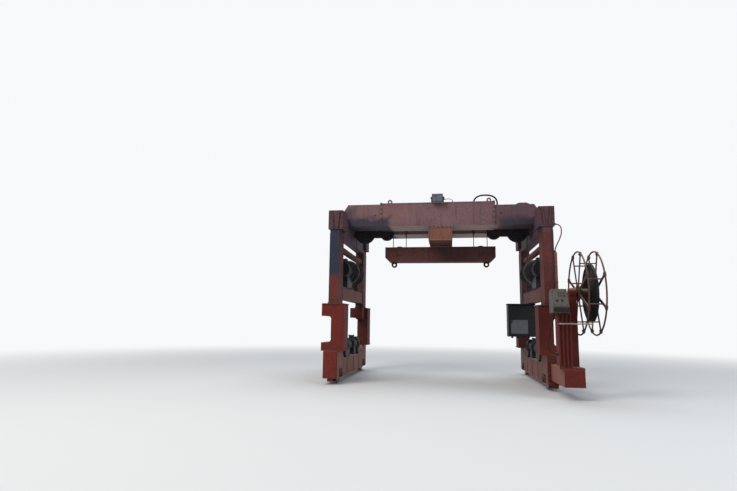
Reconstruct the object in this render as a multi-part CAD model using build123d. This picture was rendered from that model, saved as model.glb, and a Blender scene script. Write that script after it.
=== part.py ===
"""Rail-mounted track-laying gantry crane.

Frame: X across the track with +X towards the operator's side, Y along the rails
with -Y towards the console, Z up. The origin lies on the track's centre line,
midway between the axles, at rail-top level. All sizes are in millimetres.
"""
from build123d import *
import math
import os

os.makedirs("parts", exist_ok=True)

SIDES = (-1, 1)
SIDE_NAMES = {-1: "left", 1: "right"}
END_NAMES = {-1: "front", 1: "rear"}

# Running gear
GAUGE = 3400.0
TRUCK_LENGTH = 2900.0
TRUCK_WIDTH = 220.0
TRUCK_BOTTOM = 75.0
TRUCK_END_TOP = 500.0
TRUCK_MIDDLE_TOP = 360.0
TRUCK_END_LENGTH = 450.0
TRUCK_SLOPE_LENGTH = 110.0
TRUCK_SKIN = 18.0
WHEELBASE = 2300.0
TREAD_RADIUS = 130.0
TREAD_WIDTH = 110.0
FLANGE_RADIUS = 150.0
FLANGE_WIDTH = 20.0
WHEEL_HUB_RADIUS = 62.0
WHEEL_HUB_LENGTH = 160.0
AXLE_RADIUS = 35.0
AXLE_CLEARANCE = 0.05
AXLE_CAP_RADIUS = 54.0
AXLE_CAP_PROUD = 16.0
POCKET_HALF_LENGTH = 170.0
POCKET_TOP = 300.0

# Legs
LEG_FRAME_LENGTH = 2800.0
COLUMN_DEPTH = 350.0
COLUMN_INNER_X = 1600.0
COLUMN_OUTER_X = 1755.0
LEG_INNER_X = 1500.0
LEG_WEB_X = 1705.0
LEG_OUTER_X = 1860.0
LOWER_LEG_DEPTH = 750.0
LOWER_LEG_TOP = TRUCK_END_TOP + LOWER_LEG_DEPTH
NOTCH_BOTTOM = TRUCK_END_TOP + 130.0
NOTCH_TOP = LOWER_LEG_TOP - 200.0
NOTCH_RADIUS = 60.0
LEG_FLANGE = 18.0
LEG_FLANGE_PROUD = 12.0
GUSSET_REACH = 300.0
GUSSET_BOTTOM = LOWER_LEG_TOP - 230.0
GUSSET_RADIUS = 140.0
LEDGE_PLATE = 20.0
LEDGE_PROUD = 12.0
MID_BEAM_INNER_X = 1610.0
MID_BEAM_OUTER_X = 1745.0
MID_BEAM_DEPTH = 210.0
MID_BEAM_BOTTOM = LOWER_LEG_TOP + 90.0
MID_BEAM_TOP = MID_BEAM_BOTTOM + MID_BEAM_DEPTH
DRUM_RISE = 310.0
DRUM_HEIGHT = MID_BEAM_TOP + DRUM_RISE
DRUM_FLANGE_RADIUS = 215.0
TIE_BAR_RADIUS = 55.0
TIE_BAR_CLEARANCE = 65.0
TIE_BAR_HEIGHT = DRUM_HEIGHT + DRUM_FLANGE_RADIUS + TIE_BAR_CLEARANCE + TIE_BAR_RADIUS
TOP_BEAM_GAP = 140.0
TOP_BEAM_DEPTH = 380.0
TOP_BEAM_BOTTOM = TIE_BAR_HEIGHT + TIE_BAR_RADIUS + TOP_BEAM_GAP
TOP_BEAM_TOP = TOP_BEAM_BOTTOM + TOP_BEAM_DEPTH
HEAD_INNER_X = 1545.0
HEAD_OUTER_X = 1780.0
HEAD_BOTTOM = TOP_BEAM_TOP - 310.0
HEAD_PLATE = 20.0
HEAD_RIB_PROUD = 30.0
HEAD_RIB_WIDTH = 14.0
HEAD_RIB_TOP_SPREAD = 62.0
HEAD_RIB_FOOT_SPREAD = 36.0

# Twin box girder
GIRDER_LAP = 142.0
GIRDER_DEPTH = 417.0
GIRDER_BOTTOM = TOP_BEAM_TOP - GIRDER_LAP
GIRDER_TOP = GIRDER_BOTTOM + GIRDER_DEPTH
GIRDER_HALF_WIDTH = 660.0
SLOT_HALF_WIDTH = 180.0
SLEEVE_LEFT_X = -1030.0
SLEEVE_RIGHT_X = 960.0
SLEEVE_PROUD = 9.0
COLLAR_WIDTH = 40.0
COLLAR_PROUD = 12.0
LIP_HEIGHT = 14.0
LEFT_END_TOP = GIRDER_TOP - 12.0
RIGHT_END_TOP = GIRDER_TOP - 60.0
GIRDER_TIP_X = 1680.0
END_CHAMFER_X = 70.0
END_CHAMFER_Z = 110.0
END_TIE_WIDTH = 60.0
HUMP_LOW_X = 1300.0
HUMP_HIGH_X = 1540.0
HUMP_RISE = 28.0
CENTRE_BLOCK_LEFT_X = -180.0
CENTRE_BLOCK_RIGHT_X = 230.0
CENTRE_BLOCK_DEPTH = 250.0
CENTRE_BLOCK_BOTTOM = GIRDER_BOTTOM - CENTRE_BLOCK_DEPTH

# Hoist
ROPE_RADIUS = 7.0
ROPE_SEAT = 0.3
DRUM_X = 1670.0
DRUM_BARREL_RADIUS = 95.0
DRUM_HALF_LENGTH = 262.0
DRUM_FLANGE_WIDTH = 12.0
DRUM_SHAFT_RADIUS = 32.0
WOUND_START = 235.0
WOUND_END = 8.0
BIG_GROOVE_RADIUS = 165.0
BIG_RIM_RADIUS = 185.0
SMALL_GROOVE_RADIUS = 114.0
SMALL_RIM_RADIUS = 130.0
SHEAVE_HALF_WIDTH = 22.0
SHEAVE_WEB_HALF = 8.0
SHEAVE_HUB_RADIUS = 52.0
SHEAVE_HUB_HALF = 34.0
BIG_PIN_RADIUS = 30.0
SMALL_PIN_RADIUS = 25.0
PIN_CLEARANCE = 0.05
SHEAVE_HEIGHT = GIRDER_BOTTOM - 18.0
CHEEK_GAP_HALF = 40.0
CHEEK_PLATE = 16.0
CHEEK_LOW_X = 890.0
CHEEK_BOTTOM = SHEAVE_HEIGHT - 60.0
CHEEK_TOP = TOP_BEAM_TOP + 30.0
CHEEK_CORNER = 60.0
CHEEK_TIE_WIDTH = 30.0
PIN_HEAD_RADIUS = 40.0
PIN_HEAD_LENGTH = 14.0
ANCHOR_BAR_RADIUS = 20.0
ANCHOR_BAR_HEIGHT = SHEAVE_HEIGHT + 53.0
ANCHOR_SOCKET_RADIUS = 16.0

# Winch
STAND_HALF_WIDTH = 100.0
STAND_PLATE = 24.0
STAND_FACE = DRUM_HALF_LENGTH + 20.0
STAND_CROWN_RADIUS = 70.0
STAND_FOOT_LENGTH = 110.0
STAND_FOOT_HEIGHT = 20.0
GEARBOX_LENGTH = 170.0
GEARBOX_RADIUS = 150.0
MOTOR_RADIUS = 135.0
MOTOR_LENGTH = 330.0
MOTOR_COVER_LENGTH = 60.0
MOTOR_COVER_RADIUS = 146.0
MOTOR_FOOT_HALF = 90.0
MOTOR_FOOT_DROP = 60.0

# Spreader
FALL_LENGTH = 372.0
PULLEY_HEIGHT = SHEAVE_HEIGHT - FALL_LENGTH
PULLEY_X = 740.0
SPREADER_HALF_LENGTH = 1000.0
SPREADER_HALF_WIDTH = 110.0
SPREADER_TOP = PULLEY_HEIGHT + 100.0
SPREADER_BOTTOM = PULLEY_HEIGHT - 170.0
SPREADER_CHAMFER = 80.0
WELL_HALF_LENGTH = SMALL_RIM_RADIUS + 15.0
WELL_HALF_WIDTH = 45.0
WELL_BOTTOM = PULLEY_HEIGHT - SMALL_RIM_RADIUS - 10.0
PULLEY_PIN_RADIUS = 22.0
EYE_X = 840.0
EYE_RADIUS = 52.0
EYE_DROP = 48.0
EYE_HALF_THICKNESS = 15.0
EYE_HOLE_RADIUS = 22.0

# Travel drives
DRIVE_MOTOR_RADIUS = 100.0
DRIVE_MOTOR_LENGTH = 330.0
DRIVE_CENTRE_HEIGHT = TRUCK_MIDDLE_TOP + 200.0
DRIVE_INNER_Y = 160.0
DRIVE_GEARBOX_LENGTH = 220.0
DRIVE_GEARBOX_HALF = 105.0
DRIVE_GEARBOX_HEIGHT = 320.0
DRIVE_GEARBOX_TOP = TRUCK_MIDDLE_TOP + DRIVE_GEARBOX_HEIGHT
DRIVE_GEARBOX_CHAMFER = 45.0
DRIVE_FOOT_HALF = 80.0
DRIVE_FOOT_START = 50.0

# Electrical cabinet
CABINET_LOW_X = 1240.0
CABINET_HIGH_X = 1720.0
CABINET_FRONT = 350.0
CABINET_REAR = 650.0
CABINET_TOP = MID_BEAM_BOTTOM - 20.0
CABINET_HEIGHT = 590.0
CABINET_BOTTOM = CABINET_TOP - CABINET_HEIGHT
CABINET_CORNER = 14.0
CABINET_DOOR_PROUD = 12.0
CABINET_DOOR_INSET = 20.0
CABINET_BRACKET = 30.0
CABINET_BRACKET_PITCH = 45.0

# Nose beam with console
NOSE_LOW_X = 1635.0
NOSE_HIGH_X = 1890.0
NOSE_TIP = -2400.0
NOSE_TOP = 382.0
NOSE_DEPTH = 230.0
NOSE_END_PLATE = 20.0
POST_LOW_X = 1578.0
POST_HIGH_X = 1743.0
POST_FRONT = -2400.0
POST_REAR = -2200.0
POST_HEIGHT = 728.0
POST_TOP = NOSE_TOP + POST_HEIGHT
POST_RIB_COUNT = 4
POST_RIB_WIDTH = 16.0
POST_RIB_PROUD = 22.0
POST_FOOT = 20.0
DESK_LOW_X = 1510.0
DESK_HIGH_X = 1715.0
DESK_FRONT = -2470.0
DESK_RIDGE = -2330.0
DESK_REAR = -2200.0
DESK_LIP_TOP = POST_TOP + 80.0
DESK_TOP = POST_TOP + 320.0

# Cable reel
REEL_Y = -2060.0
REEL_HEIGHT = NOSE_TOP + 1008.0
REEL_INNER_RIM_X = 1925.0
REEL_OUTER_RIM_X = 2140.0
REEL_RIM_RADIUS = 570.0
REEL_RIM_BAR = 11.0
REEL_SPOKES = 8
REEL_SPOKE_WIDTH = 40.0
REEL_SPOKE_THICKNESS = 10.0
REEL_HUB_RADIUS = 60.0
REEL_SHAFT_RADIUS = 25.0
CABLE_PACK_RADIUS = 405.0
CABLE_PACK_LOW_X = 2066.0
CABLE_PACK_HIGH_X = 2098.0
REEL_STAND_LOW_X = 1795.0
REEL_STAND_HIGH_X = 1890.0
REEL_STAND_HALF_WIDTH = 50.0
REEL_STAND_CROWN = 70.0
REEL_STAND_PAD = 16.0
GUARD_RAIL_RADIUS = 9.0
GUARD_RAIL_RISE = 585.0
GUARD_RAIL_HEIGHT = NOSE_TOP + GUARD_RAIL_RISE
GUARD_RAIL_REACH = 100.0
GUARD_RAIL_Y = POST_FRONT - GUARD_RAIL_REACH
GUARD_RAIL_END_X = 1985.0
GUARD_RAIL_STANDOFF = 7.0

# Fittings on the girder
LAMP_LOW_X = -130.0
LAMP_HIGH_X = 90.0
LAMP_HEIGHT = 144.0
LAMP_CENTRE_HEIGHT = GIRDER_TOP + 62.0
LAMP_OVERHANG = 125.0
LAMP_DEPTH = 85.0
LAMP_FRONT = -(GIRDER_HALF_WIDTH + LAMP_OVERHANG)
LAMP_REAR = LAMP_FRONT + LAMP_DEPTH
LAMP_TILT = 12.0
LAMP_BRACKET_WIDTH = 16.0
LAMP_BRACKET_PLATE = 10.0
LUG_X = 865.0
LUG_RADIUS = 42.0
LUG_HOLE_RADIUS = 18.0
LUG_THICKNESS = 20.0
LUG_INSET = 100.0
LUG_Y = GIRDER_HALF_WIDTH - LUG_INSET
LUG_CENTRE_RISE = 46.0
LUG_PAD = 8.0
DUCT_INSET = 5.0
DUCT_WIDTH = 65.0
DUCT_FRONT = DUCT_INSET - LEG_FRAME_LENGTH / 2
DUCT_REAR = DUCT_FRONT + DUCT_WIDTH
DUCT_PROUD = 45.0
DUCT_BOTTOM = LOWER_LEG_TOP + LEDGE_PLATE + 10.0
DUCT_LENGTH = 770.0
DUCT_TOP = DUCT_BOTTOM + DUCT_LENGTH

# Loose hoses and cables
HOSE_RADIUS = 15.0
HOSE_START_X = 608.0
HOSE_Y = -430.0
HOSE_ROUTE = [(0.0, 52.0), (21.0, 102.0), (60.0, 140.0), (120.0, 164.0), (206.0, 172.0), (292.0, 164.0),
              (352.0, 140.0), (391.0, 102.0), (412.0, 52.0)]
FLEX_RADIUS = 5.0
FLEX_ROUTE = [(35.0, 0.0), (75.0, 5.0), (113.4, 0.0), (136.6, -13.4), (150.0, -36.6)]
CONSOLE_CABLE_RADIUS = 9.0
CONSOLE_CABLE_Y = -2300.0
CONSOLE_CABLE_X = 1545.0
CONSOLE_CABLE_ROUTE = [(0.0, -60.0), (-20.0, -130.0), (-48.0, -220.0), (-72.0, -320.0), (-85.0, -410.0),
                       (-85.0, -471.0), (-61.0, -513.0), (-19.0, -537.0)]
DUCT_HOSE_RADIUS = 9.0
DUCT_HOSE_ROUTE = [(0.0, 50.0), (30.0, 120.0), (80.0, 220.0), (107.7, 300.0), (107.7, 383.8), (84.9, 423.2),
                   (45.5, 446.0)]

RAIL_X = GAUGE / 2
FRAME_HALF = LEG_FRAME_LENGTH / 2
COLUMN_INNER_Y = FRAME_HALF - COLUMN_DEPTH
DRUM_ROPE_RADIUS = DRUM_BARREL_RADIUS + ROPE_SEAT + ROPE_RADIUS
LEAD_X = DRUM_X - DRUM_ROPE_RADIUS
BIG_ROPE_RADIUS = BIG_GROOVE_RADIUS + ROPE_SEAT + ROPE_RADIUS
SMALL_ROPE_RADIUS = SMALL_GROOVE_RADIUS + ROPE_SEAT + ROPE_RADIUS
BIG_SHEAVE_X = LEAD_X - BIG_ROPE_RADIUS
OUTER_FALL_X = PULLEY_X + SMALL_ROPE_RADIUS
INNER_FALL_X = PULLEY_X - SMALL_ROPE_RADIUS
SMALL_SHEAVE_X = OUTER_FALL_X + SMALL_ROPE_RADIUS
TANGENT = math.acos((SMALL_ROPE_RADIUS - BIG_ROPE_RADIUS) / (BIG_SHEAVE_X - SMALL_SHEAVE_X))


def block(x0, x1, y0, y1, z0, z1):
    """Rectangular solid between two corners."""
    return Pos((x0 + x1) / 2, (y0 + y1) / 2, (z0 + z1) / 2) * Box(abs(x1 - x0), abs(y1 - y0), abs(z1 - z0))


def rod_x(x0, x1, y, z, radius):
    """Round bar along X."""
    return Pos((x0 + x1) / 2, y, z) * Rot(0, 90, 0) * Cylinder(radius, abs(x1 - x0))


def rod_y(x, y0, y1, z, radius):
    """Round bar along Y."""
    return Pos(x, (y0 + y1) / 2, z) * Rot(90, 0, 0) * Cylinder(radius, abs(y1 - y0))


def rod_z(x, y, z0, z1, radius):
    """Round bar along Z."""
    return Pos(x, y, (z0 + z1) / 2) * Cylinder(radius, abs(z1 - z0))


def prism_y(points, y0, y1):
    """Outline in X and Z, drawn out along Y."""
    face = make_face(Polyline([(x, y0, z) for x, z in points], close=True))
    return Solid.extrude(face.face(), Vector(0, y1 - y0, 0))


def prism_x(points, x0, x1):
    """Outline in Y and Z, drawn out along X."""
    face = make_face(Polyline([(x0, y, z) for y, z in points], close=True))
    return Solid.extrude(face.face(), Vector(x1 - x0, 0, 0))


def edges_at(shape, axis, test):
    """Edges parallel to an axis whose centre passes a test."""
    return [edge for edge in shape.edges().filter_by(axis) if test(edge.center())]


def turned_x(profile, x, y, z):
    """Profile of (x, radius) points turned about an axis along X."""
    face = make_face(Polyline([(along, radius, 0) for along, radius in profile], close=True))
    return Pos(x, y, z) * revolve(face, axis=Axis.X)


def turned_y(profile, x, y, z):
    """Profile of (y, radius) points turned about an axis along Y."""
    face = make_face(Polyline([(radius, along, 0) for along, radius in profile], close=True))
    return Pos(x, y, z) * revolve(face, axis=Axis.Y)


def rope_arc(x, z, radius, start, sweep_angle):
    """Rope on a sheave: angles in degrees, from +X towards +Z."""
    section = Pos(radius, 0, 0) * Circle(ROPE_RADIUS)
    arc = revolve(section, axis=Axis((0, 0, 0), (0, -1, 0)), revolution_arc=sweep_angle)
    return Pos(x, 0, z) * Rot(0, -start, 0) * arc


def rope_between(x0, z0, x1, z1):
    """Straight rope in the middle plane."""
    length = math.hypot(x1 - x0, z1 - z0)
    angle = math.degrees(math.atan2(x1 - x0, z1 - z0))
    return Pos((x0 + x1) / 2, 0, (z0 + z1) / 2) * Rot(0, angle, 0) * Cylinder(ROPE_RADIUS, length)


def cord(name, points, radius):
    """Loose cable: straight runs joined by tangent arcs."""
    bends = []
    for before, corner, after in zip(points, points[1:], points[2:]):
        first = Vector(*corner) - Vector(*before)
        second = Vector(*after) - Vector(*corner)
        turn = math.radians(first.get_angle(second))
        bends.append(0.45 * min(first.length, second.length) / math.tan(turn / 2))
    path = FilletPolyline(*points, radius=bends)
    section = Plane(origin=path @ 0, z_dir=path % 0) * Circle(radius)
    body = sweep(section, path=path)
    expected = math.pi * radius * radius * path.length
    print(name, "bend radii", [round(bend, 1) for bend in bends], "length", round(path.length, 1),
          "volume ratio", round(body.volume / expected, 4))
    return body


def truck(side):
    """End carriage: raised ends over the wheel pockets, a lower middle, bearing caps."""
    x0 = side * RAIL_X - TRUCK_WIDTH / 2
    x1 = side * RAIL_X + TRUCK_WIDTH / 2
    half = TRUCK_LENGTH / 2
    raised = half - TRUCK_END_LENGTH
    low = raised - TRUCK_SLOPE_LENGTH
    outline = [(-half, TRUCK_BOTTOM), (half, TRUCK_BOTTOM), (half, TRUCK_END_TOP), (raised, TRUCK_END_TOP),
               (low, TRUCK_MIDDLE_TOP), (-low, TRUCK_MIDDLE_TOP), (-raised, TRUCK_END_TOP),
               (-half, TRUCK_END_TOP)]
    body = prism_x(outline, x0, x1)
    for end in SIDES:
        wheel_y = end * WHEELBASE / 2
        for face, hand in ((x0, -1), (x1, 1)):
            body += rod_x(face, face + hand * AXLE_CAP_PROUD, wheel_y, TREAD_RADIUS, AXLE_CAP_RADIUS)
        body -= block(x0 + TRUCK_SKIN, x1 - TRUCK_SKIN, wheel_y - POCKET_HALF_LENGTH,
                      wheel_y + POCKET_HALF_LENGTH, TRUCK_BOTTOM - 1, POCKET_TOP)
        body += rod_x(x0 + 1, x1 - 1, wheel_y, TREAD_RADIUS, AXLE_RADIUS)
    return body


def wheel(side, end):
    """Single-flanged wheel on its fixed axle, flange towards the track's centre."""
    half = TREAD_WIDTH / 2
    hub = WHEEL_HUB_LENGTH / 2
    bore = AXLE_RADIUS + AXLE_CLEARANCE
    flange = -half - FLANGE_WIDTH
    profile = [(-hub, bore), (-hub, WHEEL_HUB_RADIUS), (flange, WHEEL_HUB_RADIUS), (flange, FLANGE_RADIUS - 6),
               (flange + 6, FLANGE_RADIUS), (-half - 5, FLANGE_RADIUS), (-half, TREAD_RADIUS),
               (half - 4, TREAD_RADIUS), (half, TREAD_RADIUS - 4), (half, TREAD_RADIUS - 24),
               (half - 18, TREAD_RADIUS - 32), (half - 18, WHEEL_HUB_RADIUS), (hub, WHEEL_HUB_RADIUS), (hub, bore)]
    return turned_x([(side * along, radius) for along, radius in profile],
                    side * RAIL_X, end * WHEELBASE / 2, TREAD_RADIUS)


def lower_leg(side, end):
    """C-shaped lower leg, open outwards; the rear one has a gusset head towards the front."""
    y0 = end * COLUMN_INNER_Y
    y1 = end * FRAME_HALF
    outline = [(side * LEG_INNER_X, TRUCK_END_TOP), (side * LEG_OUTER_X, TRUCK_END_TOP),
               (side * LEG_OUTER_X, NOTCH_BOTTOM), (side * LEG_WEB_X, NOTCH_BOTTOM),
               (side * LEG_WEB_X, NOTCH_TOP), (side * LEG_OUTER_X, NOTCH_TOP),
               (side * LEG_OUTER_X, LOWER_LEG_TOP), (side * LEG_INNER_X, LOWER_LEG_TOP)]
    body = prism_y(outline, y0, y1)
    body = fillet(edges_at(body, Axis.Y, lambda c: abs(abs(c.X) - LEG_WEB_X) < 1), NOTCH_RADIUS)
    for low in (TRUCK_END_TOP, LOWER_LEG_TOP - LEG_FLANGE):
        body += block(side * (LEG_INNER_X - LEG_FLANGE_PROUD), side * LEG_OUTER_X, y0,
                      y1 + end * LEG_FLANGE_PROUD, low, low + LEG_FLANGE)
    if end > 0:
        front = COLUMN_INNER_Y - GUSSET_REACH
        outline = [(front, LOWER_LEG_TOP), (front, GUSSET_BOTTOM), (COLUMN_INNER_Y, GUSSET_BOTTOM),
                   (COLUMN_INNER_Y, LOWER_LEG_TOP)]
        gusset = prism_x(outline, side * (LEG_INNER_X + 60), side * LEG_WEB_X)
        corner = edges_at(gusset, Axis.X, lambda c: abs(c.Y - front) < 1 and abs(c.Z - GUSSET_BOTTOM) < 1)
        body += fillet(corner, GUSSET_RADIUS)
    return body


def upper_columns():
    """Four box columns, each with its base plate."""
    columns = []
    for side in SIDES:
        for end in SIDES:
            column = block(side * COLUMN_INNER_X, side * COLUMN_OUTER_X, end * COLUMN_INNER_Y, end * FRAME_HALF,
                           LOWER_LEG_TOP, TOP_BEAM_BOTTOM)
            column += block(side * (COLUMN_INNER_X - LEDGE_PROUD), side * (COLUMN_OUTER_X + LEDGE_PROUD),
                            end * COLUMN_INNER_Y, end * (FRAME_HALF + LEDGE_PROUD),
                            LOWER_LEG_TOP, LOWER_LEG_TOP + LEDGE_PLATE)
            columns.append(column)
    return Compound(columns)


def mid_beams():
    """Beams between the columns that carry the winches."""
    return Compound([block(side * MID_BEAM_INNER_X, side * MID_BEAM_OUTER_X, -COLUMN_INNER_Y, COLUMN_INNER_Y,
                           MID_BEAM_BOTTOM, MID_BEAM_TOP) for side in SIDES])


def top_beams():
    """Lengthwise beams on the columns that carry the girders."""
    return Compound([block(side * COLUMN_INNER_X, side * COLUMN_OUTER_X, -FRAME_HALF, FRAME_HALF,
                           TOP_BEAM_BOTTOM, TOP_BEAM_TOP) for side in SIDES])


def tie_bars():
    """Thin bars between the columns below the top beams."""
    x = (COLUMN_INNER_X + COLUMN_OUTER_X) / 2
    return Compound([rod_y(side * x, -COLUMN_INNER_Y, COLUMN_INNER_Y, TIE_BAR_HEIGHT, TIE_BAR_RADIUS)
                     for side in SIDES])


def head_brackets():
    """Ribbed end plates and inner cheeks on the four ends of the top beams."""
    heads = []
    for side in SIDES:
        for end in SIDES:
            face = end * (FRAME_HALF + HEAD_PLATE)
            head = block(side * HEAD_INNER_X, side * HEAD_OUTER_X, end * FRAME_HALF, face, HEAD_BOTTOM, TOP_BEAM_TOP)
            head += block(side * HEAD_INNER_X, side * COLUMN_INNER_X, end * COLUMN_INNER_Y, end * FRAME_HALF,
                          HEAD_BOTTOM, TOP_BEAM_TOP)
            head += block(side * COLUMN_OUTER_X, side * HEAD_OUTER_X, end * COLUMN_INNER_Y, end * FRAME_HALF,
                          HEAD_BOTTOM, TOP_BEAM_TOP)
            middle = (HEAD_INNER_X + HEAD_OUTER_X) / 2
            for hand in SIDES:
                top = side * (middle + hand * HEAD_RIB_TOP_SPREAD)
                foot = side * (middle + hand * HEAD_RIB_FOOT_SPREAD)
                half = HEAD_RIB_WIDTH / 2
                outline = [(top - half, TOP_BEAM_TOP - 10), (top + half, TOP_BEAM_TOP - 10),
                           (foot + half, HEAD_BOTTOM + 20), (foot - half, HEAD_BOTTOM + 20)]
                head += prism_y(outline, face, face + end * HEAD_RIB_PROUD)
            heads.append(head)
    return Compound(heads)


def girder_centre():
    """Middle sleeves of the two box girders."""
    low = SLOT_HALF_WIDTH
    high = GIRDER_HALF_WIDTH
    boxes = []
    for end in SIDES:
        box = block(SLEEVE_LEFT_X, SLEEVE_RIGHT_X, end * low, end * high, GIRDER_BOTTOM, GIRDER_TOP)
        box += block(SLEEVE_LEFT_X, SLEEVE_RIGHT_X, end * high, end * (high + COLLAR_PROUD), GIRDER_BOTTOM,
                     GIRDER_BOTTOM + LIP_HEIGHT)
        for x in (SLEEVE_LEFT_X, SLEEVE_RIGHT_X - COLLAR_WIDTH):
            box += block(x, x + COLLAR_WIDTH, end * low, end * (high + COLLAR_PROUD), GIRDER_BOTTOM,
                         GIRDER_TOP + COLLAR_PROUD)
        boxes.append(box)
    return Compound(boxes)


def girder_end(side):
    """Outer length of both box girders, lapped over the top beam and tied at its tip."""
    start = -SLEEVE_LEFT_X if side < 0 else SLEEVE_RIGHT_X
    top = LEFT_END_TOP if side < 0 else RIGHT_END_TOP
    bottom = GIRDER_BOTTOM + SLEEVE_PROUD
    outline = [(side * start, bottom), (side * COLUMN_INNER_X, bottom), (side * COLUMN_INNER_X, TOP_BEAM_TOP),
               (side * GIRDER_TIP_X, TOP_BEAM_TOP), (side * GIRDER_TIP_X, top - END_CHAMFER_Z),
               (side * (GIRDER_TIP_X - END_CHAMFER_X), top), (side * start, top)]
    half = GIRDER_HALF_WIDTH - SLEEVE_PROUD
    body = prism_y(outline, -half, half)
    body -= block(side * (start - 1), side * (GIRDER_TIP_X - END_TIE_WIDTH), -SLOT_HALF_WIDTH, SLOT_HALF_WIDTH,
                  bottom - 1, top + 1)
    if side > 0:
        slope = HUMP_RISE * 2
        hump = [(HUMP_LOW_X, top), (HUMP_LOW_X + slope, top + HUMP_RISE), (HUMP_HIGH_X - slope, top + HUMP_RISE),
                (HUMP_HIGH_X, top)]
        body += prism_y(hump, -half, -SLOT_HALF_WIDTH)
    return body


def centre_block():
    """Block under the middle of the girder that ties both boxes together."""
    half = GIRDER_HALF_WIDTH
    return block(CENTRE_BLOCK_LEFT_X, CENTRE_BLOCK_RIGHT_X, -half, half, CENTRE_BLOCK_BOTTOM, GIRDER_BOTTOM)


def sheave_profile(bore, groove, rim, hub_half):
    """Half section of a grooved rope sheave: (y, radius) points."""
    half = SHEAVE_HALF_WIDTH
    web = SHEAVE_WEB_HALF
    flat = ROPE_RADIUS * 0.55
    inner_rim = groove - 16
    return [(-hub_half, bore), (-hub_half, SHEAVE_HUB_RADIUS), (-web, SHEAVE_HUB_RADIUS), (-web, inner_rim - 8),
            (-half, inner_rim), (-half, rim), (-half + 6, rim), (-flat, groove), (flat, groove), (half - 6, rim),
            (half, rim), (half, inner_rim), (web, inner_rim - 8), (web, SHEAVE_HUB_RADIUS),
            (hub_half, SHEAVE_HUB_RADIUS), (hub_half, bore)]


def big_sheave(side):
    """Large lead sheave over the winch."""
    profile = sheave_profile(BIG_PIN_RADIUS + PIN_CLEARANCE, BIG_GROOVE_RADIUS, BIG_RIM_RADIUS, SHEAVE_HUB_HALF)
    return turned_y(profile, side * BIG_SHEAVE_X, 0, SHEAVE_HEIGHT)


def small_sheave(side):
    """Small sheave that turns the rope down to the spreader."""
    profile = sheave_profile(SMALL_PIN_RADIUS + PIN_CLEARANCE, SMALL_GROOVE_RADIUS, SMALL_RIM_RADIUS,
                             SHEAVE_HUB_HALF)
    return turned_y(profile, side * SMALL_SHEAVE_X, 0, SHEAVE_HEIGHT)


def sheave_brackets():
    """Cheek plates in the girder's slot with the pins of both sheaves."""
    inner = CHEEK_GAP_HALF
    outer = CHEEK_GAP_HALF + CHEEK_PLATE
    brackets = []
    for side in SIDES:
        outline = [(side * CHEEK_LOW_X, CHEEK_BOTTOM + CHEEK_CORNER),
                   (side * (CHEEK_LOW_X + CHEEK_CORNER), CHEEK_BOTTOM),
                   (side * COLUMN_INNER_X, CHEEK_BOTTOM), (side * COLUMN_INNER_X, TOP_BEAM_TOP),
                   (side * (COLUMN_INNER_X - 30), CHEEK_TOP), (side * CHEEK_LOW_X, CHEEK_TOP)]
        bracket = None
        for hand in SIDES:
            cheek = prism_y(outline, hand * inner, hand * outer)
            for x, radius in ((BIG_SHEAVE_X, PIN_HEAD_RADIUS + 6), (SMALL_SHEAVE_X, PIN_HEAD_RADIUS)):
                cheek += rod_y(side * x, hand * outer, hand * (outer + PIN_HEAD_LENGTH), SHEAVE_HEIGHT, radius)
            for x in (SMALL_SHEAVE_X, (BIG_SHEAVE_X + SMALL_SHEAVE_X) / 2, BIG_SHEAVE_X):
                cheek += block(side * x - CHEEK_TIE_WIDTH / 2, side * x + CHEEK_TIE_WIDTH / 2,
                               hand * outer, hand * SLOT_HALF_WIDTH, GIRDER_BOTTOM + 60, CHEEK_TOP)
            bracket = cheek if bracket is None else bracket + cheek
        bracket += rod_y(side * BIG_SHEAVE_X, -outer, outer, SHEAVE_HEIGHT, BIG_PIN_RADIUS)
        bracket += rod_y(side * SMALL_SHEAVE_X, -outer, outer, SHEAVE_HEIGHT, SMALL_PIN_RADIUS)
        brackets.append(bracket)
    return Compound(brackets)


def hoist_ropes():
    """Rope of each winch: up from the drum, over the big sheave, across, and over the small sheave."""
    ropes = []
    tangent = math.degrees(TANGENT)
    high_x = BIG_SHEAVE_X + BIG_ROPE_RADIUS * math.cos(TANGENT)
    high_z = SHEAVE_HEIGHT + BIG_ROPE_RADIUS * math.sin(TANGENT)
    low_x = SMALL_SHEAVE_X + SMALL_ROPE_RADIUS * math.cos(TANGENT)
    low_z = SHEAVE_HEIGHT + SMALL_ROPE_RADIUS * math.sin(TANGENT)
    for side in SIDES:
        if side > 0:
            big = rope_arc(BIG_SHEAVE_X, SHEAVE_HEIGHT, BIG_ROPE_RADIUS, 0, tangent)
            small = rope_arc(SMALL_SHEAVE_X, SHEAVE_HEIGHT, SMALL_ROPE_RADIUS, tangent, 180 - tangent)
        else:
            big = rope_arc(-BIG_SHEAVE_X, SHEAVE_HEIGHT, BIG_ROPE_RADIUS, 180 - tangent, tangent)
            small = rope_arc(-SMALL_SHEAVE_X, SHEAVE_HEIGHT, SMALL_ROPE_RADIUS, 0, 180 - tangent)
        rope = rope_between(side * LEAD_X, DRUM_HEIGHT, side * LEAD_X, SHEAVE_HEIGHT) + big
        rope += rope_between(side * high_x, high_z, side * low_x, low_z)
        ropes.append(rope + small)
    return Compound(ropes)


def rope_falls():
    """The four straight falls between the girder and the spreader's pulleys."""
    falls = []
    for side in SIDES:
        for x in (OUTER_FALL_X, INNER_FALL_X):
            falls.append(rod_z(side * x, 0, PULLEY_HEIGHT, SHEAVE_HEIGHT, ROPE_RADIUS))
    return Compound(falls)


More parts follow.
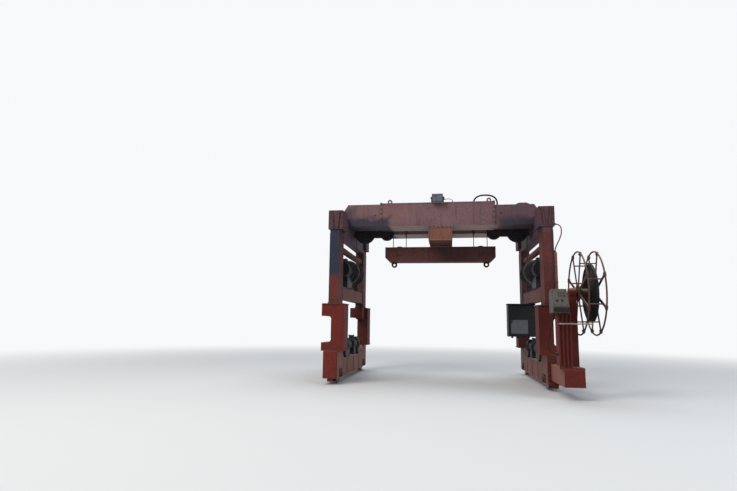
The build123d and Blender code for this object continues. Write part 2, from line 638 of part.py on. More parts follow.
def rope_anchors():
    """Bars across the slot with the sockets of the ropes' fixed ends."""
    anchors = []
    for side in SIDES:
        bar = rod_y(side * INNER_FALL_X, -SLOT_HALF_WIDTH, SLOT_HALF_WIDTH, ANCHOR_BAR_HEIGHT, ANCHOR_BAR_RADIUS)
        bar += rod_z(side * INNER_FALL_X, 0, SHEAVE_HEIGHT, ANCHOR_BAR_HEIGHT, ANCHOR_SOCKET_RADIUS)
        anchors.append(bar)
    return Compound(anchors)


def pulley_ropes():
    """Half turns of rope under the spreader's pulleys."""
    return Compound([rope_arc(side * PULLEY_X, PULLEY_HEIGHT, SMALL_ROPE_RADIUS, 180, 180) for side in SIDES])


def winch_drum(side):
    """Drum with end flanges and shaft; the rope's wound layer covers its front half."""
    half = DRUM_HALF_LENGTH
    inner = half - DRUM_FLANGE_WIDTH
    barrel = DRUM_BARREL_RADIUS
    wound = barrel + 2 * ROPE_RADIUS
    shaft_end = STAND_FACE + STAND_PLATE
    profile = [(-shaft_end, 0), (-shaft_end, DRUM_SHAFT_RADIUS), (-half, DRUM_SHAFT_RADIUS),
               (-half, DRUM_FLANGE_RADIUS), (-inner, DRUM_FLANGE_RADIUS), (-inner, barrel), (-WOUND_START, barrel),
               (-WOUND_START, wound), (-WOUND_END, wound), (-WOUND_END, barrel), (inner, barrel),
               (inner, DRUM_FLANGE_RADIUS), (half, DRUM_FLANGE_RADIUS), (half, DRUM_SHAFT_RADIUS),
               (shaft_end, DRUM_SHAFT_RADIUS), (shaft_end, 0)]
    return turned_y(profile, side * DRUM_X, 0, DRUM_HEIGHT)


def winch_stands():
    """Bearing stands of both winches on the mid beams."""
    stands = []
    bore = DRUM_SHAFT_RADIUS + PIN_CLEARANCE
    for side in SIDES:
        for end in SIDES:
            low = MID_BEAM_TOP
            outline = [(side * DRUM_X - STAND_HALF_WIDTH, low), (side * DRUM_X + STAND_HALF_WIDTH, low),
                       (side * DRUM_X + STAND_CROWN_RADIUS, DRUM_HEIGHT),
                       (side * DRUM_X - STAND_CROWN_RADIUS, DRUM_HEIGHT)]
            y0 = end * STAND_FACE
            y1 = end * (STAND_FACE + STAND_PLATE)
            stand = prism_y(outline, y0, y1) + rod_y(side * DRUM_X, y0, y1, DRUM_HEIGHT, STAND_CROWN_RADIUS)
            stand += block(side * DRUM_X - STAND_HALF_WIDTH, side * DRUM_X + STAND_HALF_WIDTH, y0,
                           end * (STAND_FACE + STAND_FOOT_LENGTH), low, low + STAND_FOOT_HEIGHT)
            stand -= rod_y(side * DRUM_X, end * (STAND_FACE - 1), end * (STAND_FACE + STAND_PLATE + 1),
                           DRUM_HEIGHT, bore)
            stands.append(stand)
    return Compound(stands)


def winch_motors():
    """Gearbox and motor of each winch, in front of its drum."""
    motors = []
    for side in SIDES:
        y0 = -(STAND_FACE + STAND_PLATE)
        y1 = y0 - GEARBOX_LENGTH
        y2 = y1 - MOTOR_LENGTH
        y3 = y2 - MOTOR_COVER_LENGTH
        x = side * DRUM_X
        low = MID_BEAM_TOP + STAND_FOOT_HEIGHT
        motor = rod_y(x, y0, y1, DRUM_HEIGHT, GEARBOX_RADIUS)
        motor += rod_y(x, y1, y2, DRUM_HEIGHT, MOTOR_RADIUS) + rod_y(x, y2, y3, DRUM_HEIGHT, MOTOR_COVER_RADIUS)
        foot_end = -(STAND_FACE + STAND_FOOT_LENGTH)
        wide = MOTOR_FOOT_HALF
        high = DRUM_HEIGHT - MOTOR_FOOT_DROP
        motor += block(x - wide, x + wide, y0, foot_end, low, high)
        motor += block(x - wide, x + wide, foot_end, y2 + MOTOR_COVER_LENGTH, MID_BEAM_TOP, high)
        motors.append(motor)
    return Compound(motors)


def spreader_beam():
    """Lifting beam with open wells and pins for the pulleys, and an eye under each end."""
    half = SPREADER_HALF_LENGTH
    cut = SPREADER_CHAMFER
    outline = [(-half + cut, SPREADER_BOTTOM), (half - cut, SPREADER_BOTTOM), (half, SPREADER_BOTTOM + cut),
               (half, SPREADER_TOP), (-half, SPREADER_TOP), (-half, SPREADER_BOTTOM + cut)]
    body = prism_y(outline, -SPREADER_HALF_WIDTH, SPREADER_HALF_WIDTH)
    for side in SIDES:
        x = side * PULLEY_X
        body -= block(x - WELL_HALF_LENGTH, x + WELL_HALF_LENGTH, -WELL_HALF_WIDTH, WELL_HALF_WIDTH,
                      WELL_BOTTOM, SPREADER_TOP + 1)
        body += rod_y(x, -SPREADER_HALF_WIDTH - 8, SPREADER_HALF_WIDTH + 8, PULLEY_HEIGHT, PULLEY_PIN_RADIUS)
        thick = EYE_HALF_THICKNESS
        centre = SPREADER_BOTTOM - EYE_DROP
        eye = rod_y(side * EYE_X, -thick, thick, centre, EYE_RADIUS)
        eye += block(side * EYE_X - EYE_RADIUS, side * EYE_X + EYE_RADIUS, -thick, thick, centre, SPREADER_BOTTOM)
        body += eye - rod_y(side * EYE_X, -thick - 1, thick + 1, centre, EYE_HOLE_RADIUS)
    return body


def spreader_pulley(side):
    """Pulley in a well of the spreader."""
    profile = sheave_profile(PULLEY_PIN_RADIUS + PIN_CLEARANCE, SMALL_GROOVE_RADIUS, SMALL_RIM_RADIUS,
                             SHEAVE_HUB_HALF)
    return turned_y(profile, side * PULLEY_X, 0, PULLEY_HEIGHT)


def drive_motors():
    """Two travel drives on each truck, between the legs."""
    drives = []
    for side in SIDES:
        x = side * RAIL_X
        for end in SIDES:
            y0 = end * DRIVE_INNER_Y
            y1 = y0 + end * DRIVE_MOTOR_LENGTH
            y2 = y1 + end * DRIVE_GEARBOX_LENGTH
            drive = rod_y(x, y0, y1, DRIVE_CENTRE_HEIGHT, DRIVE_MOTOR_RADIUS)
            drive += block(x - DRIVE_FOOT_HALF, x + DRIVE_FOOT_HALF, y0 + end * DRIVE_FOOT_START, y1,
                           TRUCK_MIDDLE_TOP, DRIVE_CENTRE_HEIGHT)
            box = block(x - DRIVE_GEARBOX_HALF, x + DRIVE_GEARBOX_HALF, y1, y2, TRUCK_MIDDLE_TOP, DRIVE_GEARBOX_TOP)
            top = box.edges().filter_by(Axis.Y).group_by(Axis.Z)[-1]
            drives.append(drive + chamfer(top, DRIVE_GEARBOX_CHAMFER))
    return Compound(drives)


def cabinet():
    """Electrical cabinet with a raised door and the brackets to the rear leg's gusset."""
    body = block(CABINET_LOW_X, CABINET_HIGH_X, CABINET_FRONT, CABINET_REAR, CABINET_BOTTOM, CABINET_TOP)
    body = fillet(body.edges().filter_by(Axis.Z), CABINET_CORNER)
    inset = CABINET_DOOR_INSET
    body += block(CABINET_LOW_X + inset, CABINET_HIGH_X - inset, CABINET_FRONT - CABINET_DOOR_PROUD, CABINET_FRONT,
                  CABINET_BOTTOM + inset, CABINET_TOP - inset)
    gusset = COLUMN_INNER_Y - GUSSET_REACH
    for k in (1, 2):
        z = LOWER_LEG_TOP - k * CABINET_BRACKET_PITCH
        body += block(CABINET_HIGH_X - 70, CABINET_HIGH_X - 20, CABINET_REAR, gusset, z, z + CABINET_BRACKET)
    return body


def nose_beam():
    """Cantilever beam on the front of the right-hand truck, with its end plate."""
    joint = -TRUCK_LENGTH / 2
    body = block(NOSE_LOW_X, NOSE_HIGH_X, NOSE_TIP, joint, NOSE_TOP - NOSE_DEPTH, NOSE_TOP)
    body += block(RAIL_X - TRUCK_WIDTH / 2, NOSE_HIGH_X, joint - NOSE_END_PLATE, joint,
                  TRUCK_BOTTOM + 60, TRUCK_END_TOP)
    return body


def console_post():
    """Post of the operator's console, with a foot plate and upright ribs on its front."""
    body = block(POST_LOW_X, POST_HIGH_X, POST_FRONT + POST_RIB_PROUD, POST_REAR, NOSE_TOP, POST_TOP)
    body += block(POST_LOW_X, NOSE_HIGH_X, POST_FRONT, POST_REAR, NOSE_TOP, NOSE_TOP + POST_FOOT)
    pitch = (POST_HIGH_X - POST_LOW_X - POST_RIB_WIDTH) / (POST_RIB_COUNT - 1)
    for k in range(POST_RIB_COUNT):
        x = POST_LOW_X + k * pitch
        body += block(x, x + POST_RIB_WIDTH, POST_FRONT, POST_FRONT + POST_RIB_PROUD, NOSE_TOP, POST_TOP)
    return body


def console_desk():
    """Console box with a sloping face towards the operator."""
    outline = [(DESK_FRONT, POST_TOP), (DESK_REAR, POST_TOP), (DESK_REAR, DESK_TOP - 40), (DESK_RIDGE, DESK_TOP),
               (DESK_FRONT, DESK_LIP_TOP)]
    return prism_x(outline, DESK_LOW_X, DESK_HIGH_X)


def reel_stand():
    """Post on the nose beam that carries the cable reel's shaft."""
    half = REEL_STAND_HALF_WIDTH
    low = REEL_STAND_LOW_X
    high = REEL_STAND_HIGH_X
    body = block(low, high, REEL_Y - half, REEL_Y + half, NOSE_TOP, REEL_HEIGHT)
    body += rod_x(low, high, REEL_Y, REEL_HEIGHT, REEL_STAND_CROWN)
    body += rod_x(high - 1, REEL_OUTER_RIM_X + 40, REEL_Y, REEL_HEIGHT, REEL_SHAFT_RADIUS)
    body += block(low - 40, NOSE_HIGH_X, REEL_Y - half - 30, REEL_Y + half + 30, NOSE_TOP,
                  NOSE_TOP + REEL_STAND_PAD)
    return body


def cable_reel():
    """Open cable reel: two bar rims, flat spokes, and a hub on the fixed shaft."""
    x0 = REEL_INNER_RIM_X
    x1 = REEL_OUTER_RIM_X
    body = rod_x(x0 - 15, x1 + 15, 0, 0, REEL_HUB_RADIUS)
    for x in (x0, x1):
        body += Pos(x, 0, 0) * Rot(0, 90, 0) * Torus(REEL_RIM_RADIUS, REEL_RIM_BAR)
        for k in range(REEL_SPOKES):
            half = REEL_SPOKE_THICKNESS / 2
            spoke = block(x - half, x + half, -REEL_SPOKE_WIDTH / 2, REEL_SPOKE_WIDTH / 2,
                          REEL_HUB_RADIUS - 10, REEL_RIM_RADIUS)
            body += Rot((k + 0.5) * 360.0 / REEL_SPOKES, 0, 0) * spoke
    body -= rod_x(x0 - 16, x1 + 16, 0, 0, REEL_SHAFT_RADIUS + PIN_CLEARANCE)
    return Pos(0, REEL_Y, REEL_HEIGHT) * body


def wound_cable():
    """Flat pack of black cable between the reel's spokes."""
    ring = rod_x(CABLE_PACK_LOW_X, CABLE_PACK_HIGH_X, REEL_Y, REEL_HEIGHT, CABLE_PACK_RADIUS)
    return ring - rod_x(CABLE_PACK_LOW_X - 1, CABLE_PACK_HIGH_X + 1, REEL_Y, REEL_HEIGHT, REEL_HUB_RADIUS + 0.3)


def guard_rail():
    """Thin rail across the front of the console's post, on two standoffs."""
    pitch = (POST_HIGH_X - POST_LOW_X - POST_RIB_WIDTH) / (POST_RIB_COUNT - 1)
    first = POST_LOW_X + POST_RIB_WIDTH / 2
    rail = rod_x(first - 2 * GUARD_RAIL_RADIUS, GUARD_RAIL_END_X, GUARD_RAIL_Y, GUARD_RAIL_HEIGHT,
                 GUARD_RAIL_RADIUS)
    for k in (0, POST_RIB_COUNT - 1):
        rail += rod_y(first + k * pitch, GUARD_RAIL_Y, POST_FRONT, GUARD_RAIL_HEIGHT, GUARD_RAIL_STANDOFF)
    return rail


def floodlight():
    """Floodlight in a bracket on the girder's front edge, hung a little over it and tilted down."""
    low = LAMP_LOW_X
    high = LAMP_HIGH_X
    middle_y = (LAMP_FRONT + LAMP_REAR) / 2
    width = LAMP_BRACKET_WIDTH
    plate = GIRDER_TOP + LAMP_BRACKET_PLATE
    head = Pos((low + high) / 2, 0, 0) * Box(high - low - 2 * width, LAMP_REAR - LAMP_FRONT, LAMP_HEIGHT)
    body = Pos(0, middle_y, LAMP_CENTRE_HEIGHT) * Rot(LAMP_TILT, 0, 0) * chamfer(head.edges().filter_by(Axis.X), 14)
    edge = -GIRDER_HALF_WIDTH
    outline = [(edge + 120, GIRDER_TOP), (edge + 120, plate), (edge + 60, LAMP_CENTRE_HEIGHT + 10),
               (middle_y - 20, LAMP_CENTRE_HEIGHT + 20), (middle_y - 20, LAMP_CENTRE_HEIGHT - 20),
               (edge, GIRDER_TOP)]
    for x in (low, high - width):
        body += prism_x(outline, x, x + width)
    body += block(low, high, edge + 20, edge + 120, GIRDER_TOP, plate)
    return body


def lifting_lugs():
    """Lifting lugs on the girder's top, for slinging the whole machine."""
    lugs = []
    for side in SIDES:
        for end in SIDES:
            y = end * LUG_Y
            half = LUG_THICKNESS / 2
            centre = GIRDER_TOP + LUG_CENTRE_RISE
            lug = rod_y(side * LUG_X, y - half, y + half, centre, LUG_RADIUS)
            lug += block(side * LUG_X - LUG_RADIUS, side * LUG_X + LUG_RADIUS, y - half, y + half, GIRDER_TOP, centre)
            lug += block(side * LUG_X - LUG_RADIUS - 8, side * LUG_X + LUG_RADIUS + 8, y - 30, y + 30,
                         GIRDER_TOP, GIRDER_TOP + LUG_PAD)
            lug -= rod_y(side * LUG_X, y - half - 1, y + half + 1, centre, LUG_HOLE_RADIUS)
            lugs.append(lug)
    return Compound(lugs)


def cable_duct():
    """Cable duct down the outer face of the right-hand front column and top beam."""
    return block(COLUMN_OUTER_X, COLUMN_OUTER_X + DUCT_PROUD, DUCT_FRONT, DUCT_REAR, DUCT_BOTTOM, DUCT_TOP)


def hose_arch():
    """Hydraulic hose that arches from the sleeve's top to the right-hand end of the girder."""
    x, y = HOSE_START_X, HOSE_Y
    drift = 20.0 / HOSE_ROUTE[-1][0]
    points = [(x, y, GIRDER_TOP)] + [(x + a, y + drift * a, GIRDER_TOP + z) for a, z in HOSE_ROUTE]
    points.append((x + HOSE_ROUTE[-1][0], y + 20, RIGHT_END_TOP))
    return cord("hose_arch", points, HOSE_RADIUS)


def lamp_flex():
    """Short flex from the floodlight's side round to the girder's top."""
    x, y, z = LAMP_HIGH_X, -GIRDER_HALF_WIDTH + 30, LAMP_CENTRE_HEIGHT
    points = [(x, y, z)] + [(x + a, y, z + h) for a, h in FLEX_ROUTE] + [(x + FLEX_ROUTE[-1][0], y, GIRDER_TOP)]
    return cord("lamp_flex", points, FLEX_RADIUS)


def console_cable():
    """Cable that hangs from under the console's desk and turns into its post."""
    x, y, z = CONSOLE_CABLE_X, CONSOLE_CABLE_Y, POST_TOP
    points = [(x, y, z)] + [(x + a, y, z + h) for a, h in CONSOLE_CABLE_ROUTE]
    points.append((POST_LOW_X, y, z + CONSOLE_CABLE_ROUTE[-1][1]))
    return cord("console_cable", points, CONSOLE_CABLE_RADIUS)


def duct_hose():
    """Flexible conduit from the duct's top, bowed out and into the head's side."""
    x, y, z = COLUMN_OUTER_X + DUCT_PROUD / 2, (DUCT_FRONT + DUCT_REAR) / 2, DUCT_TOP
    points = [(x, y, z)] + [(x + a, y, z + h) for a, h in DUCT_HOSE_ROUTE]
    points.append((HEAD_OUTER_X, y, z + DUCT_HOSE_ROUTE[-1][1]))
    return cord("duct_hose", points, DUCT_HOSE_RADIUS)


def save(name, shape):
    """Write one node."""
    export_step(shape, f"parts/{name}.step")


def main():
    """Build and write every node."""
    single = [upper_columns, mid_beams, top_beams, tie_bars, head_brackets, girder_centre, centre_block,
              sheave_brackets, hoist_ropes, rope_falls, rope_anchors, pulley_ropes, winch_stands, winch_motors,
              spreader_beam, drive_motors, cabinet, nose_beam, console_post, console_desk, reel_stand, cable_reel,
              wound_cable, guard_rail, floodlight, lifting_lugs, cable_duct, hose_arch, lamp_flex, console_cable,
              duct_hose]
    for build in single:
        save(build.__name__, build())
    for side, side_name in SIDE_NAMES.items():
        for build in (truck, girder_end, big_sheave, small_sheave, winch_drum, spreader_pulley):
            save(f"{build.__name__}_{side_name}", build(side))
        for end, end_name in END_NAMES.items():
            save(f"wheel_{end_name}_{side_name}", wheel(side, end))
    for end, end_name in END_NAMES.items():
        save(f"lower_legs_{end_name}", Compound([lower_leg(side, end) for side in SIDES]))


main()
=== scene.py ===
"""Looks of the rail-mounted track-laying gantry crane: finishes, small parts, ropes and studio."""

import logging
import math
from dataclasses import dataclass, field
from enum import Enum
from itertools import product
from typing import Sequence

import bmesh
import bpy
from mathutils import Matrix, Vector


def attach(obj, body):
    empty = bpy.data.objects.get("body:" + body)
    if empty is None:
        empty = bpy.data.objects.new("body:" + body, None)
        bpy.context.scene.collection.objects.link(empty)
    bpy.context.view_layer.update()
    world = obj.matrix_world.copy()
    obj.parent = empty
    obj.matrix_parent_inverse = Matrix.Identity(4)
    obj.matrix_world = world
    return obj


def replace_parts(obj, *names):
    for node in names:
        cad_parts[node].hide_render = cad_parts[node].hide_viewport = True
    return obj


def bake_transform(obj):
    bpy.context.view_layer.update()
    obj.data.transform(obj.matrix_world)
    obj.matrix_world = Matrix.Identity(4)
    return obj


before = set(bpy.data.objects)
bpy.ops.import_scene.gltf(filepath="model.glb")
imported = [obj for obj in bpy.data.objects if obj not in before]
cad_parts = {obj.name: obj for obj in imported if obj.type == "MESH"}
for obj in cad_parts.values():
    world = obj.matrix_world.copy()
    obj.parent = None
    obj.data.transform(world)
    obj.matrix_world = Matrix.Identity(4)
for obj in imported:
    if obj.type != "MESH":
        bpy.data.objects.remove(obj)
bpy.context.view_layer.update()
log = logging.getLogger("gantry")

Point = tuple[float, float, float]
Profile = Sequence[tuple[float, float]]
Rgb = tuple[int, int, int]
Socket = bpy.types.NodeSocket
Tree = bpy.types.NodeTree
Thing = bpy.types.Object
SIDES = (-1, 1)
CORNERS = tuple(product(SIDES, SIDES))
SIDE_NAMES = {-1: "left", 1: "right"}
PLATE_ANGLE = 32.0
RULE_ANGLE = 40.0
BACKDROP = (0.93, 0.945, 0.96, 1.0)
SOCKET_TYPES = {float: "NodeSocketFloat", int: "NodeSocketInt", tuple: "NodeSocketVector"}


class Axis(Enum):
    """Direction along which a form is drawn or turned."""

    X = (1.0, 0.0, 0.0)
    Y = (0.0, 1.0, 0.0)
    Z = (0.0, 0.0, 1.0)

    def facing(self, hand: int = 1) -> Point:
        """Unit direction along the axis, or against it where hand is -1."""
        return tuple(hand * c + 0.0 for c in self.value)

    def across(self) -> tuple[Vector, Vector]:
        """Two directions at right angles to the axis, from which angles run."""
        start = Vector((1, 0, 0)) if self is Axis.Z else Vector((0, 0, 1))
        return start, Vector(self.value).cross(start)


def tone(rgb: Rgb) -> tuple[float, float, float, float]:
    """Turn a display colour, 0 to 255, into the linear one with alpha that a shader socket takes."""
    return (*(c / 255 / 12.92 if c <= 10 else ((c / 255 + 0.055) / 1.055) ** 2.4 for c in rgb), 1.0)


def turned(centre: Point, degrees: float, axis: Axis) -> Matrix:
    """Matrix that turns a form about an axis through the origin and moves it to a centre."""
    return Matrix.Translation(centre) @ Matrix.Rotation(math.radians(degrees), 4, axis.name)


def stand(name: str, data: bpy.types.ID) -> Thing:
    """Put new data in the scene.

    Args:
        name: the object's name.
        data: its mesh, curve, lamp or camera.

    Returns:
        The new object.
    """
    obj = bpy.data.objects.new(name, data)
    bpy.context.scene.collection.objects.link(obj)
    return obj


def settle(obj: Thing, body: str | None, sharp: float) -> Thing:
    """Shade a piece and let it ride on its body.

    Args:
        obj: the piece.
        body: the CAD body that it moves with, or None where it bends between two.
        sharp: edges sharper than this many degrees stay sharp.

    Returns:
        The same piece.
    """
    obj.data.shade_smooth()
    obj.data.set_sharp_from_angle(angle=math.radians(sharp))
    if body:
        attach(obj, body)
    log.info("%s: %d faces on %s", obj.name, len(obj.data.polygons), body)
    return obj


class Wiring:
    """Adds nodes to one tree and joins them."""

    def __init__(self, tree: Tree) -> None:
        """Keep the tree that the nodes go into."""
        self.tree = tree
        self.given: bpy.types.bpy_prop_collection | None = None

    @classmethod
    def group(cls, name: str, kind: str, inputs: dict[str, object]) -> "Wiring":
        """Begin a node group.

        Args:
            name: the group's name.
            kind: Blender's type of tree.
            inputs: default of each number or vector that goes in, or the socket's type where it has none.

        Returns:
            The group's wiring.
        """
        w = cls(bpy.data.node_groups.new(name, kind))
        for key, value in inputs.items():
            bare = isinstance(value, str)
            item = w.tree.interface.new_socket(name=key, in_out="INPUT",
                                               socket_type=value if bare else SOCKET_TYPES[type(value)])
            if not bare:
                item.default_value = value
        w.given = w.tree.nodes.new("NodeGroupInput").outputs
        return w

    def close(self, kind: str = "NodeSocketFloat", **results: Socket) -> Tree:
        """End the group.

        Args:
            kind: socket type of the results.
            results: what the group puts out under each name.

        Returns:
            The finished tree.
        """
        for key in results:
            self.tree.interface.new_socket(name=key, in_out="OUTPUT", socket_type=kind)
        self.feed(self.tree.nodes.new("NodeGroupOutput"), results)
        return self.tree

    def mask(self, value: Socket) -> Tree:
        """End the group with a mask, held between 0 and the group's Amount."""
        return self.close(Mask=self.times(value, self.given["Amount"], True))

    def feed(self, node: bpy.types.Node, inputs: dict) -> bpy.types.Node:
        """Fill a node's inputs.

        Args:
            node: the node.
            inputs: value or output socket for each input, by name or number.

        Returns:
            The same node.
        """
        for key, value in inputs.items():
            if isinstance(value, Socket):
                self.tree.links.new(value, node.inputs[key])
            else:
                node.inputs[key].default_value = value
        return node

    def node(self, kind: str, inputs: dict | None = None, **settings: object) -> bpy.types.Node:
        """Add a node.

        Args:
            kind: Blender's type of node.
            inputs: value or output socket for each input, by name or number.
            settings: the node's own properties.

        Returns:
            The new node.
        """
        node = self.tree.nodes.new(kind)
        for key, value in settings.items():
            setattr(node, key, value)
        return self.feed(node, inputs or {})

    def add(self, kind: str, inputs: dict | None = None, take: int | str = 0, **settings: object) -> Socket:
        """Add a node and return its first output, or the one that take names."""
        return self.node(kind, inputs, **settings).outputs[take]

    def use(self, tree: Tree, **values: object) -> bpy.types.bpy_prop_collection:
        """Place a shared group with its own values and return its outputs."""
        return self.node("ShaderNodeGroup", values, node_tree=tree).outputs

    def calc(self, operation: str, a: object, b: object = 0.0, clamp: bool = False) -> Socket:
        """Join two numbers by a Math node."""
        return self.add("ShaderNodeMath", {0: a, 1: b}, operation=operation, use_clamp=clamp)

    def times(self, a: object, b: object, clamp: bool = False) -> Socket:
        """Product of two numbers."""
        return self.calc("MULTIPLY", a, b, clamp)

    def vector(self, operation: str, a: object, b: object, take: int = 0) -> Socket:
        """Join two vectors by a Vector Math node."""
        return self.add("ShaderNodeVectorMath", {0: a, 1: b}, take, operation=operation)

    def scaled(self, vector: object, factor: object) -> Socket:
        """A vector times a number."""
        return self.add("ShaderNodeVectorMath", {0: vector, 3: factor}, operation="SCALE")

    def blend(self, factor: object, a: object, b: object) -> Socket:
        """Mix two colours."""
        return self.add("ShaderNodeMix", {0: factor, 6: a, 7: b}, 2, data_type="RGBA")

    def ramp(self, value: object, low: object, high: object) -> Socket:
        """Rise smoothly from 0 at low to 1 at high."""
        return self.add("ShaderNodeMapRange", {0: value, 1: low, 2: high}, interpolation_type="SMOOTHSTEP")

    def noise(self, vector: object, scale: object, detail: float = 4.0, rough: float = 0.55) -> Socket:
        """Noise value at a point."""
        return self.add("ShaderNodeTexNoise", {0: vector, 2: scale, 3: detail, 4: rough})

    def coord(self, kind: str = "Object") -> Socket:
        """Texture coordinate of a kind."""
        return self.add("ShaderNodeTexCoord", take=kind)

    def up(self) -> Socket:
        """How far the surface looks up, from -1 to 1."""
        return self.add("ShaderNodeSeparateXYZ", {0: self.coord("Normal")}, 2)

    def bump(self, strength: float, distance: float, height: Socket) -> Socket:
        """Normal from a height."""
        return self.add("ShaderNodeBump", {0: strength, 1: distance, 3: height})


class EffectGroups:
    """Shader node groups that several finishes share."""

    def __init__(self) -> None:
        """Build every group once."""
        self.wear = self._edge_wear(self._start("Edge wear", Width=0.008, Amount=0.6, Scale=9.0))
        self.dust = self._settled_dust(self._start("Settled dust", Amount=0.6, Scale=5.0))
        self.streaks = self._rain_streaks(self._start("Rain streaks", Amount=0.5, Scale=14.0))
        self.mottle = self._mottle(self._start("Paint mottle", Scale=3.0))
        self.splash = self._splash(self._start("Track splash", Top=0.9, Amount=0.5))
        self.region = self._region(self._start("Stained region", Soft=0.08, Ragged=0.16, Amount=0.8,
                                               Low=(0.0, 0.0, 0.0), High=(0.0, 0.0, 0.0)))

    @staticmethod
    def _start(name: str, **inputs: object) -> Wiring:
        """Begin a group with the defaults of its inputs."""
        return Wiring.group(name, "ShaderNodeTree", inputs)

    @staticmethod
    def _edge_wear(w: Wiring) -> Tree:
        """Mask of rubbed plate edges and corners, broken up by noise.

        Args:
            w: the group's wiring.

        Returns:
            The finished group.
        """
        bevel = w.add("ShaderNodeBevel", {0: w.given["Width"]}, samples=4)
        same = w.vector("DOT_PRODUCT", bevel, w.add("ShaderNodeNewGeometry", take="Normal"), 1)
        broken = w.ramp(w.noise(w.coord(), w.given["Scale"], 6.0, 0.7), 0.42, 0.62)
        return w.mask(w.times(w.ramp(w.calc("SUBTRACT", 1.0, same), 0.02, 0.22), broken))

    @staticmethod
    def _settled_dust(w: Wiring) -> Tree:
        """Mask of dust on faces that look up."""
        patches = w.ramp(w.noise(w.coord(), w.given["Scale"], 5.0, 0.65), 0.2, 0.75)
        return w.mask(w.times(w.ramp(w.up(), 0.25, 0.9), w.calc("ADD", w.times(patches, 0.6), 0.4)))

    @staticmethod
    def _rain_streaks(w: Wiring) -> Tree:
        """Mask of dirt drawn down upright faces by rain.

        Args:
            w: the group's wiring.

        Returns:
            The finished group.
        """
        drawn = w.vector("MULTIPLY", w.coord(), (1.0, 1.0, 0.07))
        runs = w.ramp(w.noise(drawn, w.given["Scale"], 5.0, 0.6), 0.5, 0.68)
        fade = w.ramp(w.noise(w.coord(), 2.3, 3.0), 0.35, 0.65)
        return w.mask(w.times(w.times(runs, fade), w.calc("SUBTRACT", 1.0, w.calc("ABSOLUTE", w.up()), True)))

    @staticmethod
    def _mottle(w: Wiring) -> Tree:
        """Broad and fine colour variation, with a height for brushed or sprayed paint.

        Args:
            w: the group's wiring.

        Returns:
            The finished group.
        """
        place, scale = w.coord(), w.given["Scale"]
        broad = w.ramp(w.noise(place, scale, 5.0, 0.6), 0.3, 0.7)
        fine = w.ramp(w.noise(place, w.times(scale, 13.0), 6.0, 0.7), 0.35, 0.7)
        grain = w.times(w.noise(place, 420.0, 3.0, 0.6), 0.25)
        return w.close(Broad=broad, Fine=fine, Height=w.calc("ADD", grain, w.noise(place, 26.0, 3.0, 0.5)))

    @staticmethod
    def _splash(w: Wiring) -> Tree:
        """Mask of pale mud thrown up from the track, fading with height.

        Args:
            w: the group's wiring.

        Returns:
            The finished group.
        """
        place = w.coord()
        height = w.add("ShaderNodeSeparateXYZ", {0: place}, 2)
        low = w.calc("SUBTRACT", 1.0, w.ramp(height, 0.0, w.given["Top"]))
        specks = w.ramp(w.noise(place, 34.0, 6.0, 0.75), 0.45, 0.62)
        cloud = w.ramp(w.noise(place, 4.5, 4.0, 0.6), 0.3, 0.75)
        return w.mask(w.times(w.times(low, w.calc("ADD", w.times(specks, 0.6), 0.4)), cloud))

    @staticmethod
    def _region(w: Wiring) -> Tree:
        """Mask of one region between two corners, used for stains and for painted shade, with soft and ragged borders.

        Args:
            w: the group's wiring.

        Returns:
            The finished group.
        """
        place = w.coord()
        cloud = w.add("ShaderNodeTexNoise", {"Scale": 5.5, "Detail": 6.0, "Roughness": 0.65, "Vector": place}, 1)
        push = w.scaled(w.vector("SUBTRACT", cloud, (0.5, 0.5, 0.5)), w.given["Ragged"])
        moved = w.vector("ADD", place, push)
        over, under = w.vector("SUBTRACT", moved, w.given["Low"]), w.vector("SUBTRACT", w.given["High"], moved)
        inside = w.node("ShaderNodeSeparateXYZ", {0: w.vector("MINIMUM", over, under)}).outputs
        nearest = w.calc("MINIMUM", w.calc("MINIMUM", inside[0], inside[1]), inside[2])
        return w.mask(w.calc("ADD", w.calc("DIVIDE", nearest, w.given["Soft"]), 0.5, True))


GROUPS = EffectGroups()


def new_material(name: str) -> tuple[bpy.types.Material, Wiring, bpy.types.Node]:
    """Start a material.

    Args:
        name: the finish's name.

    Returns:
        The material, its wiring and its Principled shader.
    """
    material = bpy.data.materials.new(name)
    material.use_nodes = True
    return material, Wiring(material.node_tree), material.node_tree.nodes["Principled BSDF"]


@dataclass(frozen=True)
class StainAndShade:
    """Soot, dust, faded paint or painted shade over one region of a finish."""

    low: Point
    high: Point
    colour: Rgb
    amount: float = 0.8
    soft: float = 0.08
    ragged: float = 0.16

    def mask(self, w: Wiring) -> Socket:
        """Where the stain or painted shade lies, in a material's wiring."""
        return w.use(GROUPS.region, Low=self.low, High=self.high, Soft=self.soft, Ragged=self.ragged,
                     Amount=self.amount)[0]


